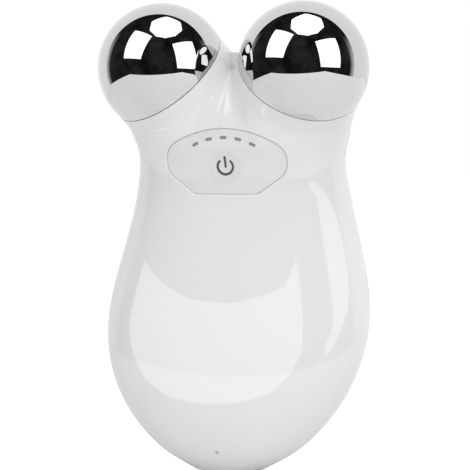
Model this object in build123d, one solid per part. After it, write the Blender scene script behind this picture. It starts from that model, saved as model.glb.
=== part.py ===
"""Hand-held facial toning device: two fixed chrome spheres on a hollow two-shell handle.

Millimetres. The origin is the centre of the rubber foot's underside, +Z is up and the control
panel faces -Y. Left and right are the viewer's, looking at the panel, so right is +X.
The skin of the handle is one smooth formula; the shells, panel and plugs are all cut from it.
"""
from build123d import *
import os
from math import comb, cos, degrees, pi, radians, sin, sqrt

import numpy as np

# ---------------------------------------------------------------- driving dimensions
# spheres and the two arms that carry them
BALL_RADIUS = 15.5
BALL_CENTRE = np.array([17.4, -0.3, 96.0])      # of the right sphere
AXIS_OUT = radians(32.7)                        # the arm's axis leans outward by this
AXIS_LEAN = radians(35.5)                       # and toward the panel side by this
SEAM_DROP = 2.5                                 # seam plane, below the sphere's centre on the axis
SEAM_RADIUS = 15.4
ARM_LENGTH = 15.0
ARM_FLARE = 0.4                                 # how much wider the arm is at its root

# the handle: height, half width, y of the widest plane, y of the front, y of the back
BASE_Z = 0.5
STATIONS = np.array([
    (BASE_Z, 8.6, -0.1, -7.9, 7.9),
    (3.0, 13.4, -0.7, -10.3, 10.5),
    (8.0, 20.0, -0.9, -12.7, 14.1),
    (16.0, 26.5, 0.0, -13.9, 17.9),
    (26.0, 30.9, 2.5, -13.9, 21.1),
    (37.0, 32.2, 6.4, -12.5, 23.3),
    (50.0, 30.1, 9.9, -9.5, 23.7),
    (62.0, 27.2, 11.1, -6.7, 23.1),
    (73.0, 24.9, 9.5, -6.0, 22.7),
    (80.0, 23.4, 8.8, -7.7, 21.9),
])
SECTION_POWER = 2.35                            # 2 is an ellipse, more is squarer
CROWN_Z = 77.0                                  # above this the handle closes as a dome
CROWN_RISE = 12.5
BLEND_AT_SEAM = 0.3                             # size of the fillet between handle and arms
BLEND_BELOW = 2.2
BLEND_LENGTH = 7.0
WEB_START = 7.0                                 # the web between the arms starts this far down them
WEB_LENGTH = 7.0
WEB_BELOW = 5.0
WALL = 1.8
WAIST_Z = 70.0                                  # the skin's patches change here
PARTING_BEHIND_WIDEST = 3.4                     # the shells' seam is this far behind the widest plane
PARTING_SOFTNESS = 2.0

# control panel: a plate on the neck, set in a shallow step
PANEL_Z = 72.5                                  # height of the button's centre
PANEL_TILT = radians(10.0)
PANEL_STEP = 0.35
PANEL_THICKNESS = 1.0
GASKET_THICKNESS = 0.2
PANEL_GAP = 0.05
LEDGE_WIDTH = 1.2
PANEL_TOP = 9.1
PANEL_SHOULDER = (12.6, 5.35)
PANEL_SIDE = (14.7, 0.8)
PANEL_HIP = (13.4, -2.5)
PANEL_FOOT = (7.7, -6.4)
PANEL_CORNER_RADIUS = 1.0

# power button, its symbol and the switch behind it
BUTTON_RADIUS = 3.8
BUTTON_GAP = 0.06
BUTTON_DISH = 0.35
BUTTON_BACK = 2.35                              # depths are inward from the panel plane
FLANGE_RADIUS = 4.8
FLANGE_FRONT = 1.75
PUSHER_RADIUS = 1.2
PUSHER_BACK = 3.6
SYMBOL_RADIUS = 1.85                            # of the ring's centre line
SYMBOL_STROKE = 0.6
SYMBOL_OPENING = radians(36.0)                  # half the opening at the top
SYMBOL_BAR_TOP = 2.5
SYMBOL_INLAY = 0.15
STEM_RADIUS = 1.0
STEM_BACK = 5.0
STEM_GAP = 0.06
STEM_FACE_GAP = 0.02
SWITCH_SIDE = 6.0
SWITCH_FRONT = 4.4
SWITCH_WELL = 5.6
SWITCH_CHAMFER = 0.5

# main board, parallel to the panel
BOARD_FRONT = 6.4
BOARD_THICKNESS = 1.0
BOARD_WIDTH = 28.0
BOARD_LOW = -16.0
BOARD_HIGH = 10.5
BOARD_CORNER = 2.0
BOARD_SCREW_X = 10.5
BOARD_SCREW_UP = -12.8
BOARD_SCREW_HEAD = 1.2
BOARD_SCREW_LENGTH = 4.0
SCREW_SHANK_RADIUS = 1.0
SCREW_HOLE_GAP = 0.05
PILOT_LEAD_IN = 1.0                             # a pilot hole starts this far clear of its post
PILOT_SPARE = 0.5                               # and goes this far past the screw's tip

# what stands on the board's back: (x, up) places and sizes
CHIP_PLACE = (-7.0, -2.0)
CHIP_SIDE = 6.0
CHIP_CORNER = 0.3
CHIP_HEIGHT = 1.1
COIL_PLACE = (2.5, -4.0)
COIL_RADIUS = 3.4
COIL_CORE_RADIUS = 1.9
COIL_FLANGE = 0.6
WINDING_RADIUS = 3.1
WINDING_HEIGHT = 3.0
CAPACITOR_UP = -9.5
CAPACITOR_XS = (-4.5, -0.5, 3.5)
CAPACITOR_RADIUS = 1.6
CAPACITOR_HEIGHT = 4.5
BUZZER_PLACE = (8.6, 1.5)
BUZZER_RADIUS = 4.2
BUZZER_HOLE_RADIUS = 0.8
BUZZER_HEIGHT = 3.2
BATTERY_CONNECTOR = (-9.0, 7.4)
ELECTRODE_CONNECTOR = (0.0, 7.4)
CHARGE_CONNECTOR = (9.0, -6.5)
CONNECTOR_SIZE = (5.0, 3.4)
CONNECTOR_HEIGHT = 3.0
LEAD_HALF_PITCH = 1.2

# five level lights on an arc above the button
LIGHT_COUNT = 5
LIGHT_ARC_RADIUS = 15.3
LIGHT_ARC_TOP = 7.05
LIGHT_STEP = radians(13.4)
LIGHT_LENGTH = 1.7
LIGHT_WIDTH = 0.75
PIPE_BACK = 5.2
BAFFLE_FRONT = 3.0
BAFFLE_HALF_WIDTH = 9.6
BAFFLE_LOW = 4.2
BAFFLE_HIGH = 8.8
BAFFLE_CORNER = 1.0
LED_SIZE = (1.6, 0.8, 0.6)
LED_POCKET_GAP = 0.2

# sphere details, measured along its own axis from its centre
SPHERE_WALL = 1.0
SEAL_THICKNESS = 0.15
COLLAR_RADIUS = 13.2
COLLAR_WALL = 1.0
COLLAR_BACK = -5.5
POST_RADIUS = 3.0
CARRIER_THICKNESS = 1.6
CARRIER_WINDOW_RADIUS = 2.4
CARRIER_WINDOW_PLACE = 7.8                      # from the axis
TERMINAL_THICKNESS = 0.4
TERMINAL_RADIUS = 2.7
TERMINAL_TAIL = (1.8, 4.0)
TERMINAL_TAIL_PLACE = 4.2
SEAL_INSET = 0.1                                # the seal stays this far inside the sphere's edge
SPHERE_SCREW_REACH = 7.0

# screws that pull the rear shell to the front one: (x, z)
SHELL_SCREWS = [(20.0, 26.0), (19.5, 61.0)]
BOSS_RADIUS = 3.2
POST_OUTER_RADIUS = 2.6
HEAD_RADIUS = 2.0
HEAD_HEIGHT = 1.4
HEAD_HOLE_GAP = 0.08
HEAD_CAP_GAP = 0.06
CROSS_SIZE = (2.2, 0.5, 0.6)                    # the driver's recess: length, width, depth
SCREW_REACH = 6.0                               # into the front post
CAP_THICKNESS = 1.6
CAP_SINK = 1.0                                  # lets the plug's face follow the slanted skin

# battery and its tray
CELL_SIZE = (24.0, 7.0, 30.0)
CELL_CENTRE = (0.0, 3.5, 37.0)
TRAY_WALL = 1.2
TRAY_DEPTH = 5.0
TRAY_POST_RADIUS = 2.4
TRAY_POST_Z = (29.0, 45.0)
CELL_CORNER = 1.5
LEAD_INSET = 6.0                                # the cell's leads leave this far left of its middle
LEAD_NOTCH_WIDTH = 6.0

# charging inlet low on the back, and the small lamp at the front
INLET_Z = 14.5
INLET_WIDTH = 8.9
INLET_HEIGHT = 3.2
INLET_WALL = 0.3
INLET_MOUTH_Y = 16.4
INLET_LENGTH = 7.2
INLET_HOLE_GAP = 0.15
TONGUE_SIZE = (6.6, 5.2, 0.7)
CHARGE_BOARD_SIZE = (13.0, 11.5, 0.8)
CHARGE_BOARD_BACK = 2.9                         # its back edge, in from the inlet's mouth
CHARGE_LEAD_X = 4.4
PINHOLE_RADIUS = 0.45
PINHOLE_Z = 5.8
PIPE_TILT = radians(25.0)
PIPE_LENGTH = 13.0
CHARGE_LED_SIZE = (1.6, 1.0, 0.7)

# rubber foot
FOOT_HALF_X = 5.4
FOOT_HALF_Y = 6.4
FOOT_THICKNESS = 1.3

LEAD_RADIUS = 0.55

# ---------------------------------------------------------------- the skin as a formula
AXIS = np.array([sin(AXIS_OUT) * cos(AXIS_LEAN), -sin(AXIS_LEAN), cos(AXIS_OUT) * cos(AXIS_LEAN)])


def smooth_curve(heights, values):
    """A natural cubic spline: smooth in slope and curvature through every station."""
    n = len(heights)
    step = np.diff(heights)
    matrix = np.eye(n)
    right = np.zeros(n)
    for i in range(1, n - 1):
        matrix[i, i - 1:i + 2] = step[i - 1], 2 * (step[i - 1] + step[i]), step[i]
        right[i] = 6 * ((values[i + 1] - values[i]) / step[i] - (values[i] - values[i - 1]) / step[i - 1])
    bend = np.linalg.solve(matrix, right)

    def at(z):
        z = np.clip(z, heights[0], heights[-1])
        i = np.clip(np.searchsorted(heights, z) - 1, 0, n - 2)
        below = z - heights[i]
        above = heights[i + 1] - z
        cubic = (bend[i] * above**3 + bend[i + 1] * below**3) / (6 * step[i])
        low = (values[i] / step[i] - bend[i] * step[i] / 6) * above
        high = (values[i + 1] / step[i] - bend[i + 1] * step[i] / 6) * below
        return cubic + low + high

    return at


half_width, widest_y, front_y, back_y = [smooth_curve(STATIONS[:, 0], STATIONS[:, k]) for k in (1, 2, 3, 4)]


def handle_depth(x, y, z):
    """Below zero inside the handle: radius from its spine times (1 - 1 / superellipse size)."""
    level = np.minimum(z, CROWN_Z)
    across = y - widest_y(level)
    reach = np.where(across < 0, widest_y(level) - front_y(level), back_y(level) - widest_y(level))
    rise = np.maximum(z - CROWN_Z, 0)
    terms = (np.abs(x) / half_width(level), np.abs(across) / reach, rise / CROWN_RISE)
    size = sum(t**SECTION_POWER for t in terms) ** (1 / SECTION_POWER)
    radius = np.sqrt(x * x + across * across + rise * rise)
    return np.where(size > 1e-3, radius * (1 - 1 / np.maximum(size, 1e-3)), -WALL * 5)


def arm_depth(p, side):
    """Distance outside a slightly flared round arm, and how far below the sphere's centre p is."""
    mirror = np.array([side, 1, 1])
    d = p - BALL_CENTRE * mirror
    drop = -(d @ (AXIS * mirror))
    held = np.clip(drop, 0, ARM_LENGTH)
    along = (np.maximum(held, SEAM_DROP) - SEAM_DROP) / (ARM_LENGTH - SEAM_DROP)
    off_axis = np.linalg.norm(d + held[..., None] * AXIS * mirror, axis=-1)
    return off_axis - SEAM_RADIUS - ARM_FLARE * along**2, drop


def fillet_size(drop, start, length, below):
    """Size of a fillet: small at the seam, then growing smoothly to its full size down the arm."""
    fade = np.clip((drop - start) / length, 0, 1)
    return BLEND_AT_SEAM + (below - BLEND_AT_SEAM) * fade * fade * (3 - 2 * fade)


def smooth_least(a, b, size):
    """The lesser of two depths, rounded over where they are closer than the fillet's size."""
    lowest = np.minimum(a, b)
    return lowest - size * np.log(np.exp(-(a - lowest) / size) + np.exp(-(b - lowest) / size))


def skin(p):
    """Below zero inside: the two arms with a web between them, then blended with the handle."""
    q = np.stack([np.abs(p[..., 0]), p[..., 1], p[..., 2]], -1)
    near_arm, drop = arm_depth(q, 1)
    far_arm, _ = arm_depth(q, -1)
    arms = smooth_least(near_arm, far_arm, fillet_size(drop, WEB_START, WEB_LENGTH, WEB_BELOW))
    handle = handle_depth(q[..., 0], q[..., 1], q[..., 2])
    return smooth_least(handle, arms, fillet_size(drop, SEAM_DROP, BLEND_LENGTH, BLEND_BELOW))


def skin_slope(p, step=1e-4):
    """The skin formula's gradient, by central differences."""
    return np.stack([(skin(p + step * e) - skin(p - step * e)) / (2 * step) for e in np.eye(3)], -1)


def settle(p, level, rounds=12):
    """Moves points along the gradient onto the given level of the skin formula."""
    for _ in range(rounds):
        slope = skin_slope(p)
        move = (skin(p) - level) / np.maximum((slope * slope).sum(-1), 0.05)
        p = p - np.clip(move, -2.5, 2.5)[..., None] * slope
    return p


def cast(origin, direction, level, reach=60.0, rounds=50):
    """Where rays from inside the handle cross the given level, by bisection."""
    low = np.zeros(direction.shape[:-1])
    high = np.full_like(low, reach)
    for _ in range(rounds):
        middle = (low + high) / 2
        inside = skin(origin + middle[..., None] * direction) < level
        low = np.where(inside, middle, low)
        high = np.where(inside, high, middle)
    return origin + low[..., None] * direction


def arm_line_y(z):
    """y of the arms' middle plane at height z."""
    return BALL_CENTRE[1] + (BALL_CENTRE[2] - z) * -AXIS[1] / AXIS[2]


def parting_y(z):
    """The shells part here: behind the widest plane, then along the arms' middle plane."""
    body = widest_y(z) + PARTING_BEHIND_WIDEST
    return -PARTING_SOFTNESS * np.log(
        np.exp(-body / PARTING_SOFTNESS) + np.exp(-arm_line_y(z) / PARTING_SOFTNESS))


# ---------------------------------------------------------------- the skin as Bezier patches
SAMPLES = 41
T = np.linspace(0, 1, SAMPLES)
LONG_DEGREE = 14
CUT_DEGREE = 9
ARC_DEGREE = 8


def bernstein(degree):
    return np.stack([comb(degree, i) * T**i * (1 - T) ** (degree - i) for i in range(degree + 1)], -1)


def fit_curve(points, degree):
    """Bezier control points through both ends, nearest to the rest."""
    basis = bernstein(degree)
    control = np.zeros((degree + 1, 3))
    control[[0, -1]] = points[[0, -1]]
    rest = points - basis @ control
    control[1:-1] = np.linalg.lstsq(basis[:, 1:-1], rest, rcond=None)[0]
    return control


def fit_patch(grid, first, last, left, right):
    """Bezier control net with the four given borders, nearest to the grid inside them."""
    basis_u = bernstein(len(left) - 1)
    basis_v = bernstein(len(first) - 1)
    net = np.zeros((len(left), len(first), 3))
    net[0], net[-1], net[:, 0], net[:, -1] = first, last, left, right
    rest = grid - np.einsum("ui,ijk,vj->uvk", basis_u, net, basis_v)
    inner_u = np.linalg.pinv(basis_u[:, 1:-1])
    inner_v = np.linalg.pinv(basis_v[:, 1:-1])
    net[1:-1, 1:-1] = np.einsum("iu,uvk,jv->ijk", inner_u, rest, inner_v)
    return net


def coons(first, last, left, right):
    """The Coons surface between four border curves: ruled both ways, less the corners' blend."""
    u = T[:, None, None]
    v = T[None, :, None]
    ruled = (1 - u) * first[None] + u * last[None] + (1 - v) * left[:, None] + v * right[:, None]
    corners = (1 - u) * ((1 - v) * first[0] + v * first[-1]) + u * ((1 - v) * last[0] + v * last[-1])
    return ruled - corners


def hermite(start, end, leave, arrive):
    t = T[:, None]
    return ((2 * t**3 - 3 * t**2 + 1) * start + (t**3 - 2 * t**2 + t) * leave
            + (3 * t**2 - 2 * t**3) * end + (t**3 - t**2) * arrive)


def fan(angles):
    """Level directions: 0 is straight to the front, 90 degrees is +X, 180 is the back."""
    return np.stack([np.sin(angles), -np.cos(angles), np.zeros_like(angles)], -1)


def arch(angles):
    """Directions in the middle plane: 0 is the front, 90 degrees is up, 180 is the back."""
    return np.stack([np.zeros_like(angles), -np.cos(angles), np.sin(angles)], -1)


def spine(z):
    z = np.asarray(z, float)
    return np.stack([np.zeros_like(z), widest_y(z), z], -1)


def seam_frame():
    """Centre of the right seam circle, its outward direction and its rearward direction."""
    back = np.cross([1, 0, 0], [0, AXIS[1], AXIS[2]])
    back = back / np.linalg.norm(back) * np.sign(back[1])
    out = np.cross(back, AXIS)
    return BALL_CENTRE - SEAM_DROP * AXIS, out * np.sign(out[0]), back


def skin_curves(level, floor):
    """Border curves of the right half's patches, on one level of the skin formula."""
    centre, out, back = seam_frame()
    waist = spine(WAIST_Z)
    heights = spine(np.linspace(floor, WAIST_Z, SAMPLES))
    quarter = T * pi / 2

    def seam_arc(start, stop):
        a = (start + (stop - start) * T)[:, None]
        return centre + (SEAM_RADIUS + level) * (np.cos(a) * out + np.sin(a) * back)

    # the saddle between the arms is where the middle plane's arch meets the arms' middle plane
    tries = np.linspace(0.2 * pi, 0.6 * pi, 400)
    crest = cast(waist, arch(tries), level)
    saddle = float(np.interp(0, crest[:, 1] - arm_line_y(crest[:, 2]), tries))

    curves = {
        "base_front": cast(spine(floor), fan(quarter), level),
        "base_back": cast(spine(floor), fan(quarter + pi / 2), level),
        "waist_front": cast(waist, fan(quarter), level),
        "waist_back": cast(waist, fan(quarter + pi / 2), level),
        "front_low": cast(heights, fan(0 * T), level),
        "side_low": cast(heights, fan(0 * T + pi / 2), level),
        "back_low": cast(heights, fan(0 * T + pi), level),
        "front_high": cast(waist, arch(saddle * T), level),
        "back_high": cast(waist, arch(pi + (saddle - pi) * T), level),
        "seam_front_out": seam_arc(-pi / 2, 0),
        "seam_back_out": seam_arc(0, pi / 2),
        "seam_front_in": seam_arc(-pi / 2, -pi),
        "seam_back_in": seam_arc(pi / 2, pi),
    }

    def rise(start, end, leave, arrive):
        line = settle(hermite(start, end, np.array(leave, float), arrive * AXIS), level)
        line[[0, -1]] = start, end
        return line

    for name, (below, above, leave, arrive) in RISES.items():
        start = curves[below][0 if name == "rise_front" else -1]
        end = curves[above][-1 if name in ("rise_saddle", "rise_back") else 0]
        curves[name] = rise(start, end, leave, arrive)
    return curves


# each patch: first row, last row, left side, right side
PATCHES = [
    ("waist_front", "seam_front_out", "rise_front", "rise_side"),
    ("waist_back", "seam_back_out", "rise_side", "rise_back"),
    ("front_high", "seam_front_in", "rise_front", "rise_saddle"),
    ("back_high", "seam_back_in", "rise_back", "rise_saddle"),
]


# how each patch side climbs to the seam circle: where it starts and ends, how far it heads at each end
RISES = {
    "rise_side": ("waist_front", "seam_back_out", (0, 0, 22), 22),
    "rise_saddle": ("front_high", "seam_back_in", (8, 0, 0), 6),
    "rise_front": ("waist_front", "seam_front_out", (10, 0, 12), 16),
    "rise_back": ("waist_back", "seam_back_out", (10, 0, 20), 22),
}


def curve_degree(name):
    if name.endswith("_low"):
        return LONG_DEGREE
    return CUT_DEGREE if name.startswith("rise") or name.endswith(("_high", "_in")) else ARC_DEGREE


def as_face(net):
    return Face.make_bezier_surface([[Vector(*p) for p in row] for row in net])


def skin_solid(level, floor):
    """A closed solid inside one level of the skin: Bezier patches, a flat base and two seam discs."""
    curves = skin_curves(level, floor)
    control = {name: fit_curve(line, curve_degree(name)) for name, line in curves.items()}
    for name in ("front_low", "back_low", "front_high", "back_high"):
        control[name][:, 0] = 0

    faces = []
    heights = spine(np.linspace(floor, WAIST_Z, SAMPLES))[:, None]
    for start, names in ((0, ("base_front", "waist_front", "front_low", "side_low")),
                         (pi / 2, ("base_back", "waist_back", "side_low", "back_low"))):
        rays = fan(start + T * pi / 2)[None] + np.zeros((SAMPLES, 1, 1))
        grid = cast(heights + np.zeros((1, SAMPLES, 1)), rays, level)
        faces.append(as_face(fit_patch(grid, *[control[name] for name in names])))
    for names in PATCHES:
        borders = coons(*[curves[name] for name in names])
        grid = settle(borders, level)
        grid[[0, -1]] = borders[[0, -1]]
        grid[:, [0, -1]] = borders[:, [0, -1]]
        faces.append(as_face(fit_patch(grid, *[control[name] for name in names])))

    def edge(name):
        return Edge.make_bezier(*[Vector(*p) for p in control[name]])

    seam = [edge(f"seam_{part}") for part in ("front_out", "back_out", "back_in", "front_in")]
    faces.append(Face(Wire(seam)))
    rim = [edge("base_front"), edge("base_back")]
    base = Face(Wire(rim + [e.mirror(Plane.YZ) for e in rim]))
    return Solid(Shell(faces + [f.mirror(Plane.YZ) for f in faces] + [base]))


# ---------------------------------------------------------------- shared frames and helpers
PANEL_ORIGIN = Vector(0, float(front_y(PANEL_Z)), PANEL_Z)
PANEL_OUT = Vector(0, -cos(PANEL_TILT), -sin(PANEL_TILT))
PANEL_UP = Vector(0, -sin(PANEL_TILT), cos(PANEL_TILT))
PANEL_PLANE = Plane(origin=PANEL_ORIGIN, x_dir=(1, 0, 0), z_dir=PANEL_OUT)
FAR = 60.0                                      # past the object, for cutting tools
ABOVE = -6.0                                    # a panel depth clear above the skin
DEEP = 12.0
LAP = 0.1                                       # joined solids run into each other by this


def panel_plane(depth):
    """The panel's plane, moved inward by depth."""
    return PANEL_PLANE.offset(-depth)


def panel_point(x, up, depth):
    return PANEL_ORIGIN + Vector(x, 0, 0) + PANEL_UP * up - PANEL_OUT * depth


def panel_prism(sketch, near, far):
    """A flat sketch, drawn as seen on the panel, carried inward from near to far."""
    return extrude(panel_plane(near) * sketch, amount=far - near, dir=-PANEL_OUT)


def arm_plane(side):
    """Sphere frame: origin at the sphere's centre, Z out along the arm's axis."""
    return Plane(origin=(side * BALL_CENTRE[0], BALL_CENTRE[1], BALL_CENTRE[2]),
                 x_dir=(AXIS[2], 0, -side * AXIS[0]),
                 z_dir=(side * AXIS[0], AXIS[1], AXIS[2]))


def turned(profile):
    """Solid of revolution from (radius, height) points, about Z."""
    points = [Vector(r, 0, h) for r, h in profile]
    return revolve(Face(Wire.make_polygon(points)), axis=Axis.Z)


def tube(points, radius):
    """A round lead along straight runs and arcs, each arc as large as its runs allow."""
    points = [Vector(*p) for p in points]
    radii = []
    for a, b, c in zip(points, points[1:], points[2:]):
        turn = radians((b - a).get_angle(c - b))
        radii.append(0.45 * min((b - a).length, (c - b).length) / np.tan(turn / 2))
    path = FilletPolyline(*points, radius=radii)
    start = Plane(origin=path @ 0, z_dir=path % 0)
    return sweep(start * Circle(radius), path=path)


def along(point, direction, radius, length):
    """A cylinder from a point along a direction."""
    return extrude(Plane(origin=point, z_dir=direction) * Circle(radius), amount=length)


def both_sides(shape):
    return [shape, shape.mirror(Plane.YZ)]


PARTS = {}


def keep(name, *shapes):
    """Gathers a node's separate solids under its name."""
    solids = [s for shape in shapes for s in shape.solids()]
    PARTS[name] = solids[0] if len(solids) == 1 else Compound(children=solids)
    return PARTS[name]


# ---------------------------------------------------------------- panel surface and outline
def panel_surface():
    """A Bezier copy of the skin under and around the panel, cast along the panel's normal."""
    reach_x, low, high, inside = 16.6, -9.0, 11.5, 9.0
    across, up = np.meshgrid(reach_x * (2 * T - 1), low + (high - low) * T, indexing="ij")
    origin = np.array([*PANEL_ORIGIN]) - inside * np.array([*PANEL_OUT])
    start = origin + across[..., None] * np.array([1.0, 0, 0]) + up[..., None] * np.array([*PANEL_UP])
    grid = cast(start, np.zeros_like(start) + np.array([*PANEL_OUT]), 0.0, reach=20.0)
    borders = [fit_curve(line, ARC_DEGREE) for line in (grid[0], grid[-1], grid[:, 0], grid[:, -1])]
    return as_face(fit_patch(grid, *borders))


def panel_outline(inset=0.0):
    """Arched top, round sides, straight diagonals and a flat bottom, drawn in by the inset."""
    shoulder, side, hip, foot = PANEL_SHOULDER, PANEL_SIDE, PANEL_HIP, PANEL_FOOT
    arc_radius = (shoulder[0] ** 2 + (PANEL_TOP - shoulder[1]) ** 2) / (2 * (PANEL_TOP - shoulder[1]))
    quarter_up = PANEL_TOP - arc_radius + sqrt(arc_radius**2 - shoulder[0] ** 2 / 4)
    half = [
        ThreePointArc((0, PANEL_TOP), (shoulder[0] / 2, quarter_up), shoulder),
        ThreePointArc(shoulder, side, hip),
        Line(hip, foot),
        Line(foot, (0, foot[1])),
    ]
    whole = make_face(half + [e.mirror(Plane.YZ) for e in half])
    if inset:
        whole = offset(whole, -inset, kind=Kind.INTERSECTION)
    corners = [v for v in whole.vertices() if abs(v.X) > 1]
    return fillet(corners, PANEL_CORNER_RADIUS)


SURFACE = panel_surface()


def panel_layer(near, far):
    """The space between two copies of the skin's surface, near and far below it."""
    return extrude(SURFACE.translate(-PANEL_OUT * near), amount=far - near, dir=-PANEL_OUT)


def light_places():
    """(x, up, turn in degrees) of each level light on its arc."""
    for i in range(LIGHT_COUNT):
        a = (i - (LIGHT_COUNT - 1) / 2) * LIGHT_STEP
        up = LIGHT_ARC_TOP - LIGHT_ARC_RADIUS * (1 - cos(a))
        yield LIGHT_ARC_RADIUS * sin(a), up, -degrees(a)


def at_lights(sketch):
    return [Location((x, up, 0), (0, 0, 1), turn) * sketch for x, up, turn in light_places()]


def light_slots(length, width):
    return at_lights(SlotOverall(length, width))


# ---------------------------------------------------------------- shells
PANEL_BACK = PANEL_STEP + PANEL_THICKNESS
POCKET_FLOOR = PANEL_BACK + GASKET_THICKNESS

outer = skin_solid(0.0, BASE_Z)
inner = skin_solid(-WALL, BASE_Z + WALL)
hull = outer - inner


def rear_region():
    """Everything behind the parting surface, which is the same curve at every x."""
    heights = np.linspace(-4.0, BALL_CENTRE[2] + 20, 22)
    curve = Edge.make_spline([Vector(0, float(parting_y(z)), float(z)) for z in heights])
    low, high = curve @ 0, curve @ 1
    corners = [high, Vector(0, FAR, high.Z), Vector(0, FAR, low.Z), low]
    outline = Face(Wire([curve] + [Edge.make_line(a, b) for a, b in zip(corners, corners[1:])]))
    return extrude(outline, amount=FAR, dir=(1, 0, 0), both=True)


behind = rear_region()
foot_pocket = extrude(Ellipse(FOOT_HALF_X, FOOT_HALF_Y), amount=FOOT_THICKNESS)


def pinhole_frame():
    """Centre of the front lamp's hole on the skin, and the way into the body."""
    y = float(cast(spine(PINHOLE_Z), fan(np.zeros(())), 0.0)[1])
    return Vector(0, y, PINHOLE_Z), Vector(0, cos(PIPE_TILT), sin(PIPE_TILT))


PINHOLE, PIPE_DIRECTION = pinhole_frame()


def screw_lengths(x, z):
    """y of the parting line, of the head's seat and of the plug's inner face at a shell screw."""
    part = float(parting_y(z))
    start = np.array([x, part, z])
    cap = float(cast(start, np.array([0.0, 1.0, 0.0]), 0.0)[1]) - CAP_SINK - CAP_THICKNESS
    return part, cap - HEAD_HEIGHT - HEAD_CAP_GAP, cap


def make_front_shell():
    shell = hull - behind
    for x, z in SHELL_SCREWS:
        part, _, _ = screw_lengths(x, z)
        post = along((x, part, z), (0, -1, 0), POST_OUTER_RADIUS, FAR / 2) & outer
        pilot = along((x, part + PILOT_LEAD_IN, z), (0, -1, 0), SCREW_SHANK_RADIUS,
                      PILOT_LEAD_IN + SCREW_REACH + PILOT_SPARE)
        for piece, hole in zip(both_sides(post), both_sides(pilot)):
            shell = shell + piece - hole
    for x in (-BOARD_SCREW_X, BOARD_SCREW_X):
        post = along(panel_point(x, BOARD_SCREW_UP, BOARD_FRONT), PANEL_OUT, POST_OUTER_RADIUS, FAR / 2) & outer
        pilot = along(panel_point(x, BOARD_SCREW_UP, BOARD_FRONT + PILOT_LEAD_IN), PANEL_OUT,
                      SCREW_SHANK_RADIUS, BOARD_SCREW_LENGTH + PILOT_SPARE)
        shell = shell + post - pilot
    pocket = panel_prism(panel_outline(), ABOVE, DEEP) & panel_layer(ABOVE, POCKET_FLOOR)
    opening = panel_prism(panel_outline(LEDGE_WIDTH), 0.0, PUSHER_BACK)
    lamp_hole = along(PINHOLE - PIPE_DIRECTION * WALL, PIPE_DIRECTION, PINHOLE_RADIUS, 4 * WALL)
    shell = shell - pocket - opening - foot_pocket - lamp_hole
    return keep("front_shell", shell)


def inlet_slot(grow):
    return SlotOverall(INLET_WIDTH + 2 * grow, INLET_HEIGHT + 2 * grow)


INLET_PLANE = Plane(origin=(0, INLET_MOUTH_Y, INLET_Z), x_dir=(-1, 0, 0), z_dir=(0, 1, 0))


def make_rear_shell():
    shell = hull & behind
    for x, z in SHELL_SCREWS:
        part, seat, _ = screw_lengths(x, z)
        boss = along((x, part, z), (0, 1, 0), BOSS_RADIUS, FAR / 2) & outer
        shank = along((x, part - PILOT_LEAD_IN, z), (0, 1, 0), SCREW_SHANK_RADIUS + SCREW_HOLE_GAP, FAR / 2)
        head = along((x, seat, z), (0, 1, 0), HEAD_RADIUS + HEAD_HOLE_GAP, FAR / 2)
        for piece, cut in zip(both_sides(boss), both_sides(shank + head)):
            shell = shell + piece - cut
    tray_back = CELL_CENTRE[1] + CELL_SIZE[1] / 2 + TRAY_WALL
    for z in TRAY_POST_Z:
        shell = shell + (along((0, tray_back, z), (0, 1, 0), TRAY_POST_RADIUS, FAR / 2) & outer)
    slot = extrude(INLET_PLANE * inlet_slot(INLET_HOLE_GAP), amount=INLET_LENGTH, both=True)
    return keep("rear_shell", shell - slot - foot_pocket)


def make_shell_fixings():
    """Screws through the rear bosses, and the plugs that hide their heads."""
    screws = []
    caps = []
    length, width, depth = CROSS_SIZE
    cross = Box(length, 2 * depth, width) + Box(width, 2 * depth, length)
    for x, z in SHELL_SCREWS:
        part, seat, cap = screw_lengths(x, z)
        shank = along((x, part - SCREW_REACH, z), (0, 1, 0), SCREW_SHANK_RADIUS, SCREW_REACH + seat - part)
        head = along((x, seat, z), (0, 1, 0), HEAD_RADIUS, HEAD_HEIGHT)
        screws += both_sides(shank + head - Pos(x, seat + HEAD_HEIGHT, z) * cross)
        room = along((x, cap, z), (0, 1, 0), HEAD_RADIUS + HEAD_HOLE_GAP, FAR / 2)
        caps += both_sides(room & outer)
    keep("shell_screws", *screws)
    keep("screw_caps", *caps)


def make_foot():
    keep("base_foot", extrude(Ellipse(FOOT_HALF_X, FOOT_HALF_Y), amount=FOOT_THICKNESS))


# ---------------------------------------------------------------- control panel and button
DISH_RADIUS = (BUTTON_RADIUS**2 + BUTTON_DISH**2) / (2 * BUTTON_DISH)
DISH_CENTRE = panel_point(0, 0, PANEL_STEP + BUTTON_DISH - DISH_RADIUS)


def dish(extra=0.0):
    return Pos(*DISH_CENTRE) * Sphere(DISH_RADIUS + extra)


def power_glyph():
    """A plain power sign: a ring open at the top, with a bar in the opening."""
    ring = Circle(SYMBOL_RADIUS + SYMBOL_STROKE / 2) - Circle(SYMBOL_RADIUS - SYMBOL_STROKE / 2)
    side = 2 * SYMBOL_RADIUS * np.tan(SYMBOL_OPENING)
    wedge = make_face(Polyline((0, 0), (side, 2 * SYMBOL_RADIUS), (-side, 2 * SYMBOL_RADIUS), close=True))
    bar = Pos(0, SYMBOL_BAR_TOP / 2) * SlotOverall(SYMBOL_BAR_TOP, SYMBOL_STROKE, rotation=90)
    return ring - wedge + bar


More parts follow.
